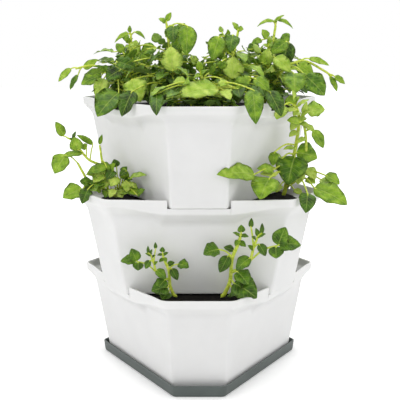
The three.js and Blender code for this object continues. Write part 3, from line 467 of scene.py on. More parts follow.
class PotRim:
    """The rim's section at every column: where flare and band start, and how far the band stands out."""

    def __init__(self):
        table = side_table()
        self.columns = outline_columns(len(table), ARC_STEPS)
        place = self.columns["place"]
        on_side = place >= 0
        rows = table[place]
        self.hand, self.beyond, rise, follow, self.share = rows.T
        side_end = (2 * (HEAD_CORNER - EDGE_ROUND) - (HEAD_SIDE - EDGE_ROUND)) / ROOT3
        along = lerp(NOTCH_HALF + self.beyond, side_end, self.share)
        to_corner = np.where(on_side, (along - NOTCH_HALF) / (side_end - NOTCH_HALF), 1)
        eased = smoothstep(to_corner, 0, 1)
        self.follow = np.where(on_side, follow, 0)
        self.reach = lerp(SEAT_REACH, CORNER_REACH, eased)
        self.band_foot = PITCH + lerp(-SEAT_BAND_DROP, CORNER_BAND_FOOT, eased)
        side_drop = lerp(SIDE_FLARE_DROP, CORNER_FLARE_DROP, eased)
        off_seat = np.where(on_side, smoothstep(along, SEAT_HALF, SEAT_HALF + SEAT_RUN_OUT), 1)
        self.flare_foot = PITCH - lerp(SEAT_FLARE_DROP, side_drop, off_seat)
        slope = np.arctan2(self.band_foot - self.flare_foot, self.reach)
        self.inner_flare_foot = self.flare_foot + POT_WALL * (1 / np.cos(slope) - np.tan(slope))
        self.inner_band_foot = self.band_foot + POT_WALL / np.cos(slope) - RIM_THICKNESS * np.tan(slope)
        self.top = lerp(SEAT_TOP, RIM_TOP, np.where(on_side, rise, 1))

    def along(self, offset, height):
        """How far along its side each point lies: columns at the notch's end slant and round with it."""
        face = self.reach + RIM_DRAFT
        depth = np.clip(face - offset, 0, RIM_THICKNESS)
        slant = depth * math.tan(SIXTH / 2)
        across_lip = 2 * depth / RIM_THICKNESS - 1
        pill = NOTCH_ROUND * (1 - np.sqrt(np.clip(1 - across_lip**2, 0, 1)))
        fixed = NOTCH_HALF + self.beyond + self.follow * (slant + pill)
        side_end = (2 * (pot_corner(height) - EDGE_ROUND) - (pot_side(height) - EDGE_ROUND)) / ROOT3
        return self.hand * lerp(fixed, side_end, self.share)

    def points(self, offset, height):
        """Points of the pot's outline at offsets from the tapering wall and heights above the foot."""
        side, corner, along = pot_side(height), pot_corner(height), self.along(offset, height)
        return outline_points(self.columns, side, corner, EDGE_ROUND, offset, along, height)


RIM = PotRim()


def placed(points, level):
    """Points of a tier in the tower's frame: raised to its foot, and the middle tier turned half a turn."""
    sign = -1 if level % 2 else 1
    return points * [sign, sign, 1] + [0, 0, FOOT_LEVEL + level * PITCH]


def drilled(shell, level):
    """The pot with its round drain holes cut through the floor."""
    turn = np.linspace(0, math.tau, DRAIN_SIDES, endpoint=False)
    circle = np.stack([np.cos(turn), np.sin(turn)], -1) * DRAIN_RADIUS
    points, faces = [], []
    for k in range(DRAIN_COUNT):
        centre = outward((k + 0.5) / DRAIN_COUNT * math.tau) * DRAIN_CIRCLE
        start = k * 2 * DRAIN_SIDES
        for height in (-POT_FLOOR, 2 * POT_FLOOR):
            points.append(np.column_stack([circle + centre, np.full(DRAIN_SIDES, height)]))
        faces += [[start + corner for corner in face] for face in grid_faces(2, DRAIN_SIDES)]
        faces += [[start + i for i in range(DRAIN_SIDES)][::-1]]
        faces += [[start + DRAIN_SIDES + i for i in range(DRAIN_SIDES)]]
    mesh = bpy.data.meshes.new("drain_drill")
    mesh.from_pydata((placed(np.concatenate(points), level) * MM).tolist(), [], faces)
    drill = add_object("drain_drill", mesh)
    cut = shell.modifiers.new("drain_holes", "BOOLEAN")
    cut.operation = "DIFFERENCE"
    cut.object = drill
    cut.solver = "EXACT"
    bpy.context.view_layer.update()
    finished = bpy.data.meshes.new_from_object(shell.evaluated_get(bpy.context.evaluated_depsgraph_get()))
    shell.modifiers.clear()
    shell.data = finished
    bpy.data.objects.remove(drill)


def make_pot(name, level):
    """A pot's shell: the rim's profile at every column, from the foot over the rim and down to the floor."""
    face = RIM.reach + RIM_DRAFT
    profile = [
        (-FOOT_INSET, 0, 0, 1),
        (0, 0, FOOT_ROUND, 5),
        (0, RIM.flare_foot, FLARE_ROUND, 6),
        (RIM.reach, RIM.band_foot, BAND_ROUND, 5),
        (face, RIM.top, RIM_ROUND, 5),
        (face - RIM_THICKNESS, RIM.top, RIM_ROUND, 5),
        (RIM.reach - RIM_THICKNESS, RIM.inner_band_foot, INNER_BAND_ROUND, 4),
        (-POT_WALL, RIM.inner_flare_foot, INNER_FLARE_ROUND, 5),
        (-POT_WALL, POT_FLOOR, FLOOR_ROUND, 5),
        (-FLOOR_INSET, POT_FLOOR, 0, 1),
    ]
    points, faces = capped(RIM.points(*rounded_profile(profile)), [0, 0, 0], [0, 0, POT_FLOOR])
    body = f"{TIERS[level]}_tier"
    shell = new_mesh(
        f"{name}_shell", placed(points, level), faces, body, [WHITE_PLASTIC], [name]
    )
    drilled(shell, level)
    keep_flats(shell)


def make_saucer():
    """The saucer's shell, its outline carried along a rounded profile, and its ribs."""
    columns = outline_columns(0, ARC_STEPS)
    inner_foot = -SAUCER_WALL - SAUCER_TAPER
    profile = [
        (-SAUCER_TAPER - FOOT_INSET, np.zeros(len(columns["facing"])), 0, 1),
        (-SAUCER_TAPER, 0, SAUCER_FOOT_ROUND, 6),
        (0, SAUCER_HEIGHT, SAUCER_LIP_ROUND, 4),
        (-SAUCER_WALL, SAUCER_HEIGHT, SAUCER_LIP_ROUND, 4),
        (inner_foot, SAUCER_FLOOR, SAUCER_FLOOR_ROUND, 5),
        (inner_foot - SAUCER_FLOOR_INSET, SAUCER_FLOOR, 0, 1),
    ]
    offset, height = rounded_profile(profile)
    side, corner, along = (np.full(offset.shape, float(value)) for value in (SAUCER_SIDE, SAUCER_CORNER, 0))
    rings = outline_points(columns, side, corner, SAUCER_EDGE, offset, along, height)
    points, faces = capped(rings, [0, 0, 0], [0, 0, SAUCER_FLOOR])
    shell = new_mesh("saucer_shell", points, faces, "saucer", [GREY_PLASTIC], ["saucer"])
    keep_flats(shell)
    section = np.array([[-1, RIB_SUNK], [1, RIB_SUNK], [RIB_TAPER, 1], [-RIB_TAPER, 1]])
    section = section * [RIB_WIDTH / 2, SAUCER_FLOOR + RIB_HEIGHT]
    ribs, rib_faces = [], []
    for k in range(RIB_COUNT):
        facing = k / RIB_COUNT * math.tau
        for length in (RIB_INNER, RIB_INNER + RIB_LENGTH):
            plan = outward(facing) * length + across(facing) * section[:, :1]
            ribs.append(np.column_stack([plan, section[:, 1]]))
        one_rib = [[3, 2, 1, 0], [4, 5, 6, 7], *grid_faces(2, len(section))]
        rib_faces += [[2 * len(section) * k + corner for corner in face[::-1]] for face in one_rib]
    new_mesh("saucer_ribs", np.concatenate(ribs), rib_faces, "saucer", [GREY_PLASTIC])


def crumbly(points, seed):
    """Heights of rough soil: sine waves of random direction and of 9 to 60 mm, summed at each point.

    The sum is divided by about the square root of their count, so that it stays near SOIL_ROUGHNESS.
    """
    rng = np.random.default_rng(seed)
    turn = rng.uniform(0, math.tau, WAVE_COUNT)
    length = np.geomspace(SHORTEST_WAVE, LONGEST_WAVE, WAVE_COUNT)
    phase = rng.uniform(0, math.tau, WAVE_COUNT)
    number = math.tau / length * np.stack([np.cos(turn), np.sin(turn)])
    waves = np.sin(points[..., :2] @ number + phase)
    return SOIL_ROUGHNESS * (waves * np.sqrt(length / LONGEST_WAVE)).sum(-1) / round(math.sqrt(WAVE_COUNT))


def make_soil(name, level):
    """A pot's soil: a block inside the wall whose top is a grid of rings, rough and lower at the wall.

    The wall's slope between its flare and its band gives the soil's edge where it meets the wall.
    """
    none = np.zeros(len(RIM.reach))
    foot_height, wall_height = POT_FLOOR + REST_GAP, SOIL_TOP - SOIL_SETTLED
    low, high = RIM.inner_flare_foot, RIM.inner_band_foot
    wall_offset, band_offset = -POT_WALL - REST_GAP, RIM.reach - RIM_THICKNESS - REST_GAP
    edge_offset = lerp(wall_offset, band_offset, np.clip((wall_height - low) / (high - low), 0, 1))
    foot = RIM.points(none + wall_offset, none + foot_height)
    wall = RIM.points(none + wall_offset, low)
    edge = RIM.points(edge_offset, none + wall_height)
    shares = np.linspace(1, INNERMOST_RING, SOIL_RINGS)[:, None, None]
    top = edge * [1, 1, 0] * shares + [0, 0, SOIL_TOP]
    inwards = 1 - shares[..., 0]
    top[..., 2] += crumbly(top, level + 3) * smoothstep(inwards, 0, ROUGH_SHARE)
    top[..., 2] -= SOIL_SETTLED * (1 - smoothstep(inwards, 0, SETTLED_SHARE))
    points, faces = capped(np.concatenate([[foot], [wall], top]), [0, 0, foot_height], [0, 0, SOIL_TOP])
    new_mesh(f"{name}_bed", placed(points, level), faces, f"{TIERS[level]}_tier", [SOIL], [name])


make_saucer()
for level, tier in enumerate(TIERS):
    make_pot(f"pot_{tier}", level)
    make_soil(f"soil_{tier}", level)


# Plants

# A blade's rings as shares of its length, and its section's points: shares of half the width, and 1 above,
# 0 on the margins and -1 below. Its arch is a share of its length, and fold and wave of half its width
BLADE_RINGS = np.array([0.02, 0.08, 0.17, 0.27, 0.38, 0.49, 0.6, 0.7, 0.79, 0.87, 0.94, 0.98])
SECTION_SPREAD = np.array([-1, -0.5, 0, 0.5, 1, 0.5, 0, -0.5])
SECTION_SIDE = np.array([0, 1, 1, 1, 0, -1, -1, -1])
BLADE_THICKNESS = 0.8
BLADE_ARCH, BLADE_FOLD, BLADE_WAVE = 0.07, 0.22, 0.12
WAVE_ALONG, WAVE_ACROSS = 15, 2.2

# Where along a blade it is widest, and the powers that round its foot, point its tip and curve its fold
WIDEST, FOOT_POWER, TIP_POWER, FOLD_POWER = 0.38, 0.52, 0.85, 1.5

# Stems and stalks: shares of the stem's radius, and of the stalk's or the blade's length
TUBE_SIDES = 7
STEM_STEPS, STALK_STEPS = 5, 4
ROOTED = 12
BRANCH_SHARE, STEM_TAPER = 0.8, 0.66
STALK_START, STALK_END = 0.42, 0.28
STALK_RISE, STALK_OVERLAP = 0.12, 0.12
SHORTEST_STALK = 2

# Side leaflets of a compound leaf: shares of the end leaf's size, of the leaflet's length and of the stalk
LEAFLET_SIZE, LEAFLET_STRETCH = 0.7, 1.08
LAST_PAIR, LEAFLET_LEAN = 0.88, 0.4

# Spreads of the seeded variation: of facings and directions, of a bearing, of a tilt in degrees and of tones
LEAF_TURN, LEAFLET_TURN, LEAFLET_WANDER, BEARING_SPREAD, TILT_SPREAD = 0.18, 0.25, 0.15, 0.2, 14
WOUND_TONE_SPREAD, CANOPY_TONE_SPREAD, LEAFLET_TONE_SPREAD = 0.15, 0.2, 0.12

# Distances kept: between leaf middles round one placed after the photograph, over the soil at the tips of the
# leaves that fill up, and between pots and stems, leaflets and all points of a plant
CLEAR_OF_LEAF, CLEAR_OF_SOIL = 26, 10
CLEAR_OF_STEM, CLEAR_OF_LEAFLET, CLEAR_OF_MESH = 5, 10, 2
RIM_EASE, HANG_EASE, HANG_DEPTH = 22, 10, 60

# What the leaves that fill up have at the foot and at the top of a stem: the share of it where they start,
# how far they rise or hang in degrees, their reach and their tone, which is painted shade at the foot and
# painted light at the top. They wind by the golden angle
WINDING = math.radians(137.5)
WOUND_START, WOUND_RISE, WOUND_REACH, WOUND_SHADE_TO_LIGHT = (0.26, 0.97), (2, 70), (1, 0.32), (0.15, 0.7)
CANOPY_START, CANOPY_HANG, CANOPY_SHADE_TO_LIGHT = (0.08, 0.68), (55, 5), (0.05, 0.6)

# Their blade's start and width as shares of their reach, how far they face outwards and where on the stem two
# pairs of leaflets turn to one; least and most of a canopy leaf's stalk, length in mm and width, and its
# lift; and least and most of the droop of canopy leaves and of leaflets
WOUND_BASE, WOUND_WIDTH, WOUND_OUTWARD, WOUND_ONE_PAIR, WOUND_DROOP = 0.5, 0.32, 0.85, 0.6, (0, 0.15)
CANOPY_STALK, CANOPY_LENGTH, CANOPY_WIDTH, CANOPY_LIFT = (0.25, 0.75), (30, 54), (0.5, 0.62), 0.06
LEAF_DROOP = (0, 0.2)

# A stem's radius, a factor for leaf widths, how far leaves placed after the photograph turn forwards from
# facing upwards, and how far leaf ends stay from soil and pots
Look = namedtuple("Look", "radius breadth forward spare")

FACINGS = outward(np.arange(6) * SIXTH)


def soft_floor(value, floor):
    """The value itself above twice the floor, and floor + floor e^(value / floor - 2) below."""
    return np.where(value >= 2 * floor, value, floor + floor * np.exp(np.minimum(value / floor - 2, 0)))


def beyond_faces(points, even, odd):
    """How far points lie beyond six faces in plan, at distances even and odd from the axis by turns."""
    return np.stack([points[..., :2] @ FACINGS[k] - (even, odd)[k % 2] for k in range(6)], -1)


def clear_of_pot_above(points, keep):
    """Points, in a pot's frame, that come nearer than keep to the pot above are eased out from its face."""
    height = points[..., 2] - PITCH
    flaring = smoothstep(height, PITCH - 2 * SEAT_FLARE_DROP, PITCH - SEAT_FLARE_DROP)
    on_rim = flaring * (SEAT_REACH + RIM_DRAFT)
    height = np.maximum(height, 0)
    excess = beyond_faces(points, pot_side(height) + on_rim, pot_corner(height) + on_rim)
    most = excess.max(-1)
    moved = points.copy()
    moved[..., :2] += FACINGS[excess.argmax(-1)] * (soft_floor(most, keep) - most)[..., None]
    return moved


def over_own_pot(points, keep):
    """Points, in a pot's frame, that come nearer than keep to its soil or rim are eased upwards.

    The ground that they stay above rises from the soil to the rim's top, and falls off outside the rim, so
    that a leaf can hang over it.
    """
    edge = RIM_DRAFT - RIM_THICKNESS
    excess = beyond_faces(points, HEAD_CORNER + CORNER_REACH + edge, HEAD_SIDE + SEAT_REACH + edge).max(-1)
    outside = RIM_THICKNESS + keep
    ground = lerp(SOIL_TOP, RIM_TOP, smoothstep(excess, -RIM_EASE, -keep))
    ground = ground - smoothstep(excess, outside, outside + HANG_EASE) * HANG_DEPTH
    moved = points.copy()
    moved[..., 2] = ground + soft_floor(points[..., 2] - ground, keep)
    return moved


def smooth_path(points, steps):
    """A Catmull-Rom curve through the points with so many steps between each pair."""
    points = np.asarray(points, float)
    padded = np.vstack([2 * points[0] - points[1], points, 2 * points[-1] - points[-2]])
    t = np.linspace(0, 1, steps, endpoint=False)[:, None]
    parts = []
    for k in range(len(points) - 1):
        p0, p1, p2, p3 = padded[k : k + 4]
        curve = 2 * p1 + (p2 - p0) * t + (2 * p0 - 5 * p1 + 4 * p2 - p3) * t**2
        parts.append(0.5 * (curve + (3 * p1 - p0 - 3 * p2 + p3) * t**3))
    return np.vstack([*parts, points[-1:]])


def along_path(path, share):
    """The point at a share of a path's length."""
    steps = np.linalg.norm(np.diff(path, axis=0), axis=1)
    reached = np.concatenate([[0], np.cumsum(steps)])
    place = share * reached[-1]
    return np.array([np.interp(place, reached, path[:, axis]) for axis in range(3)])


class Greenery:
    """Blades and stalks gathered for one plant; places in millimetres in its pot's frame."""

    def __init__(self, seed):
        self.rng = np.random.default_rng(seed)
        self.blades = []
        self.tubes = []

    def blade(self, base, tip, width, facing, tone, droop):
        """A blade from base to tip, its upper side towards facing."""
        phase = self.rng.uniform(0, math.tau)
        self.blades.append([*base, *tip, width, *facing, tone, droop, phase])

    def tube(self, path, first, last):
        """A round stalk along a path, its radius going from first to last."""
        self.tubes.append((path, first, last))

    def blade_points(self):
        """Rings of every blade: blades by rings by section points, then the two poles and the tones.

        The midrib runs from base to tip, lifted by an arch of 4u(1 - u) and lowered by droop times u cubed.
        Half the width is 0.5 w (u / 0.38)^0.52 ((1 - u) / 0.62)^0.85, and the section rises from the midrib
        by the fold, a power of the share v across it, and by a sine wave along the margins.
        """
        row = np.array(self.blades)[:, None, None, :]
        base, tip, width, facing = row[..., 0:3], row[..., 3:6], row[..., 6], row[..., 7:10]
        tone, droop, phase = np.moveaxis(row[..., 10:13], -1, 0)
        u = BLADE_RINGS[None, :, None]
        v = SECTION_SPREAD[None, None, :]
        axis = tip - base
        length = np.linalg.norm(axis, axis=-1)
        onward = axis / length[..., None]
        normal = unit(facing - (facing * onward).sum(-1, keepdims=True) * onward)
        sideways = np.cross(normal, onward)
        half = 0.5 * width * (u / WIDEST) ** FOOT_POWER * ((1 - u) / (1 - WIDEST)) ** TIP_POWER
        lift = BLADE_FOLD * half * np.abs(v) ** FOLD_POWER
        lift = lift + BLADE_WAVE * half * np.abs(v) ** 2 * np.sin(phase + WAVE_ALONG * u + WAVE_ACROSS * v)
        lift = lift + SECTION_SIDE * (0.5 * BLADE_THICKNESS)
        lift = lift + BLADE_ARCH * length * 4 * u * (1 - u)
        points = base + axis * u[..., None] + sideways * (half * v)[..., None] + normal * lift[..., None]
        points[..., 2] -= droop * length * u**3
        drop = (droop * length)[:, 0] * [0, 0, 1]
        ends = np.stack([base[:, 0, 0], tip[:, 0, 0] - drop], 1)
        return points, ends, tone[:, 0, 0]

    def mesh(self, name, level, replaced, keep):
        """The plant's mesh: blades as closed rings from pole to pole, and stalks as closed tubes."""
        rings, ends, tone = self.blade_points()
        count, rows, columns = rings.shape[:3]
        each = rows * columns + 2
        points = [np.concatenate([rings.reshape(count, -1, 3), ends], 1).reshape(-1, 3)]
        tones = [np.repeat(tone, each)]
        unders = [np.tile([*np.tile(0.5 - 0.5 * SECTION_SIDE, rows), 0.5, 0.5], count)]
        along = [np.tile([*np.repeat(BLADE_RINGS, columns), 0, 1], count)]
        side = [np.tile([*np.tile(0.5 + 0.5 * SECTION_SPREAD, rows), 0.5, 0.5], count)]
        one = capped_faces(rows, columns)
        shift = (np.arange(count) * each)[:, None, None]
        faces = []
        for corners in (4, 3):
            shape = np.array([face for face in one if len(face) == corners])
            faces += (shape + shift).reshape(-1, corners)[:, ::-1].tolist()
        slots = [0] * len(faces)
        start = count * each
        for path, first, last in self.tubes:
            made, its_faces = tube_mesh(path, first, last)
            points.append(made)
            faces += [[start + corner for corner in face] for face in its_faces]
            slots += [1] * len(its_faces)
            for values in (tones, unders, along, side):
                values.append(np.full(len(made), 0.5))
            start += len(made)
        points = placed(keep(np.concatenate(points), CLEAR_OF_MESH), level)
        plant = new_mesh(name, points, faces, f"{TIERS[level]}_tier", [LEAF, STEM], replaced)
        mesh = plant.data
        mesh.polygons.foreach_set("material_index", slots)
        for label, values in (("tone", tones), ("under", unders)):
            mesh.attributes.new(label, "FLOAT", "POINT").data.foreach_set("value", np.concatenate(values))
        corners = np.empty(len(mesh.loops), int)
        mesh.loops.foreach_get("vertex_index", corners)
        uv = np.column_stack([np.concatenate(along), np.concatenate(side)])[corners]
        mesh.uv_layers.new(name="UVMap").data.foreach_set("uv", uv.ravel())


def tube_mesh(path, first, last):
    """Points and faces of a closed tube along a path, its radius going from first to last."""
    along = unit(np.gradient(path, axis=0))
    reference = np.eye(3)[np.abs(along).mean(0).argmin()]
    one = unit(reference - along * (along @ reference)[:, None])
    other = np.cross(along, one)
    turn = (np.arange(TUBE_SIDES) / TUBE_SIDES * math.tau)[:, None]
    spokes = one[:, None] * np.cos(turn) + other[:, None] * np.sin(turn)
    radii = np.linspace(first, last, len(path))[:, None, None]
    return capped(path[:, None] + spokes * radii, path[0], path[-1])


def plant_spot(crown, height, turn, hand):
    """A function from places across, out and up in shares of a plant's height to its pot's frame."""
    aside, ahead = across(turn), outward(turn)

    def spot(along, out, up):
        plan = height * (aside * along * hand + ahead * out)
        return np.array([crown[0] + plan[0], crown[1] + plan[1], crown[2] + height * up])

    return spot


def inside_cell(points, crown, others, keep):
    """Points eased back so that they stay nearer to their own crown than to the others."""
    offset = points[..., :2] - np.array(crown[:2])
    length = np.maximum(np.linalg.norm(offset, axis=-1), 1e-6)
    limit = np.full(length.shape, np.inf)
    for other in others:
        toward = np.array(other[:2]) - np.array(crown[:2])
        reach = np.linalg.norm(toward)
        closing = np.maximum(offset @ toward / (length * reach), 1e-6)
        limit = np.minimum(limit, (reach / 2 - keep) / closing)
    knee = limit - keep
    eased = np.where(length > knee, knee + keep * np.tanh((length - knee) / keep), length)
    moved = points.copy()
    moved[..., :2] = np.array(crown[:2]) + offset * (eased / length)[..., None]
    return moved


def varied_tone(rng, tone, spread):
    """A tone with some variation, held between 0 and 1."""
    return float(np.clip(tone + rng.normal(0, spread), 0, 1))


def winding_leaves(stem, spread, phase, count, rng):
    """Leaf rows winding up a stem, the lowest longest and flattest, with one or two pairs of leaflets."""
    path = np.array(stem, float)
    rows = []
    for k in range(count):
        climb = k / (count - 1)
        share = lerp(*WOUND_START, climb)
        bearing, rise = phase + k * WINDING, math.radians(lerp(*WOUND_RISE, climb))
        reach = spread * lerp(*WOUND_REACH, climb)
        flat = math.cos(rise)
        way = np.array([math.cos(bearing) * flat, math.sin(bearing) * flat, math.sin(rise)])
        foot = along_path(path, share)
        base, tip = foot + way * reach * WOUND_BASE, foot + way * reach
        # Painted shade on the lowest leaves, painted light on the highest
        tone = varied_tone(rng, lerp(*WOUND_SHADE_TO_LIGHT, climb), WOUND_TONE_SPREAD)
        droop, pairs = rng.uniform(*WOUND_DROOP), 2 if climb < WOUND_ONE_PAIR else 1
        rows.append([0, share, *base, *tip, WOUND_WIDTH * reach, tone, droop, pairs])
    return rows


def canopy_leaves(stem, spread, phase, count, height, rng):
    """Leaf rows that fill the room round a stem: long stalks outwards, and blades that hang out and down."""
    path = np.array(stem, float)
    up = np.array([0, 0, 1])
    rows = []
    for k in range(count):
        climb = (k + rng.uniform(0, 1)) / count
        share = lerp(*CANOPY_START, climb)
        bearing = phase + k * WINDING + rng.normal(0, BEARING_SPREAD)
        tilt = math.radians(lerp(*CANOPY_HANG, climb) + rng.normal(0, TILT_SPREAD))
        radial = np.array([math.cos(bearing), math.sin(bearing), 0])
        base = along_path(path, share) + radial * spread * rng.uniform(*CANOPY_STALK) + up * CANOPY_LIFT
        length = rng.uniform(*CANOPY_LENGTH) / height
        tip = base + length * (radial * math.cos(tilt) - up * math.sin(tilt))
        # Painted shade on the lowest leaves, painted light on the highest
        tone = varied_tone(rng, lerp(*CANOPY_SHADE_TO_LIGHT, climb), CANOPY_TONE_SPREAD)
        width, droop = rng.uniform(*CANOPY_WIDTH) * length, rng.uniform(*LEAF_DROOP)
        rows.append([0, share, *base, *tip, width, tone, droop, 1])
    return rows


def grow(name, level, crown, height, turn, hand, stems, leaves, wound, look, seed, keep_spot, keep_point):
    """A plant from its stems and leaf rows, places in them across, out and up in shares of its height.

    The leaves face the side the plant is seen from, and the wound ones outwards all round. A wound leaf is
    left out where it would lie close to a leaf of leaves or hang over the rim.
    """
    spot = plant_spot(crown, height, turn, hand)
    green = Greenery(seed)
    rng = green.rng
    paths = []
    for k, stem in enumerate(stems):
        points = [spot(*place) for place in stem]
        if k == 0:
            points = [points[0] - [0, 0, ROOTED], *points]
        paths.append(keep_point(smooth_path(points, STEM_STEPS), CLEAR_OF_STEM))
        thick = look.radius if k == 0 else BRANCH_SHARE * look.radius
        green.tube(paths[-1], thick, STEM_TAPER * thick)
    front_up = np.array([*(outward(turn) * look.forward), 1])
    middles = []
    for number, (stem, share, *row) in enumerate([*leaves, *wound]):
        width, tone, droop, *pairs = row[6:]
        begin = along_path(paths[stem], share)
        base, tip = (keep_spot(spot(*place), look.spare) for place in (row[:3], row[3:6]))
        middle = (base + tip) / 2
        if number < len(leaves):
            middles.append(middle)
            facing = front_up
        elif middles and np.linalg.norm(np.array(middles) - middle, axis=1).min() < CLEAR_OF_LEAF:
            continue
        elif tip[2] < SOIL_TOP + CLEAR_OF_SOIL:
            continue
        else:
            facing = unit((tip - crown) * [1, 1, 0]) * WOUND_OUTWARD + [0, 0, 1]
        stalk = np.linalg.norm(base - begin)
        bend = (begin + base) / 2 + [0, 0, STALK_RISE * stalk]
        path = smooth_path([begin, bend, base, base + STALK_OVERLAP * (tip - base)], STALK_STEPS)
        if stalk > SHORTEST_STALK:
            green.tube(path, STALK_START * look.radius, STALK_END * look.radius)
        breadth = height * width * look.breadth
        green.blade(base, tip, breadth, unit(facing + rng.normal(0, LEAF_TURN, 3)), tone, droop)
        count = pairs[0] if pairs else 0
        ahead = unit(base - begin)
        sideways = unit(np.cross(facing, ahead))
        length = LEAFLET_SIZE * np.linalg.norm(tip - base)
        for k in range(2 * count):
            foot = along_path(path, LAST_PAIR * (1 + k // 2) / (count + 1))
            aside = sideways * (1 if k % 2 else -1)
            way = unit(aside + LEAFLET_LEAN * ahead + rng.normal(0, LEAFLET_WANDER, 3))
            leaf_tip = keep_spot(foot + way * LEAFLET_STRETCH * length, CLEAR_OF_LEAFLET)
            tint = varied_tone(rng, tone, LEAFLET_TONE_SPREAD)
            face = unit(facing + rng.normal(0, LEAFLET_TURN, 3))
            hang = rng.uniform(*LEAF_DROOP)
            green.blade(foot, leaf_tip, LEAFLET_SIZE * breadth, face, tint, hang)
    green.mesh(f"{name}_leaves", level, [name], keep_point)


# Leaf rows: stem, share along it, the blade's base and its tip (across, out and up in shares of the plant's
# height), width, tone, droop and, on a compound leaf, its pairs of side leaflets. The tone is the leaf's own
# green with painted light and shade: paler on lit leaves high up and in front, darker on shaded ones low down
SEEDLING_STEMS = [
    [[0, 0, 0], [0.09, 0.05, 0.235], [0.11, 0.1, 0.515], [0.18, 0.17, 0.72], [0.21, 0.24, 0.85]],
    [[0.1, 0.07, 0.35], [0.22, 0.1, 0.41], [0.32, 0.14, 0.505], [0.365, 0.2, 0.695], [0.41, 0.26, 0.84]],
]
SEEDLING_LEAVES = [
    [0, 0.62, -0.045, 0.15, 0.65, -0.235, 0.2, 0.61, 0.19, 0.2, 0.05],
    [0, 0.6, 0.065, 0.12, 0.565, -0.04, 0.16, 0.37, 0.12, 0.05, 0],
    [0, 0.7, 0.13, 0.1, 0.625, 0.01, 0.1, 0.665, 0.085, 0.1, 0],
    [1, 0.5, 0.32, 0.22, 0.565, 0.155, 0.27, 0.43, 0.14, 0.25, 0.05],
    [0, 0.38, 0.17, 0.18, 0.385, 0.3, 0.28, 0.25, 0.18, 0.2, 0],
    [0, 0.28, 0.13, 0.2, 0.25, 0.4, 0.34, 0.06, 0.26, 0.1, 0],
    [0, 0.22, 0.12, 0.2, 0.16, 0.22, 0.34, 0.02, 0.2, 0.05, 0],
    [1, 0.42, 0.66, 0.25, 0.725, 0.92, 0.25, 0.745, 0.17, 0.2, 0.08],
    [1, 0.42, 0.65, 0.25, 0.725, 0.735, 0.25, 0.945, 0.17, 0.2, 0],
    [1, 0.42, 0.62, 0.25, 0.71, 0.625, 0.28, 0.57, 0.15, 0.15, 0],
    [1, 0.7, 0.42, 0.26, 0.74, 0.5, 0.28, 0.6, 0.1, 0.1, 0],
    [0, 1, 0.21, 0.25, 0.88, 0.21, 0.26, 0.975, 0.075, 0.1, 0],
    [1, 0.72, 0.325, 0.27, 0.945, 0.33, 0.28, 1.06, 0.05, 0.1, 0],
    [1, 1, 0.45, 0.27, 0.87, 0.455, 0.28, 1, 0.045, 0.1, 0],
    [0, 0.95, 0.2, 0.24, 0.83, 0.11, 0.26, 0.88, 0.05, 0.3, 0],
    [0, 0.97, 0.21, 0.24, 0.84, 0.3, 0.27, 0.83, 0.05, 0.15, 0],
    [0, 0.9, 0.19, 0.22, 0.78, 0.14, 0.28, 0.72, 0.06, 0.35, 0],
    [0, 0.85, 0.19, 0.21, 0.76, 0.27, 0.26, 0.71, 0.06, 0.2, 0],
    [1, 0.9, 0.39, 0.24, 0.79, 0.33, 0.27, 0.83, 0.05, 0.15, 0],
    [1, 1, 0.41, 0.26, 0.84, 0.38, 0.28, 0.94, 0.05, 0.1, 0],
    [1, 0.96, 0.4, 0.26, 0.82, 0.5, 0.28, 0.87, 0.05, 0.2, 0],
    [1, 0.6, 0.36, 0.2, 0.66, 0.29, 0.24, 0.72, 0.05, 0.3, 0],
]
TALL_STEMS = [
    [
        [0, 0, 0], [0.02, 0.04, 0.145], [0.055, 0.08, 0.28], [0.08, 0.12, 0.425],
        [0.105, 0.16, 0.615], [0.11, 0.2, 0.725], [0.1, 0.25, 0.835], [0.06, 0.3, 0.92],
    ],
    [
        [0.02, 0.03, 0.1], [0.15, 0.08, 0.22], [0.19, 0.12, 0.42], [0.19, 0.15, 0.545],
        [0.17, 0.19, 0.68], [0.13, 0.24, 0.805],
    ],
]
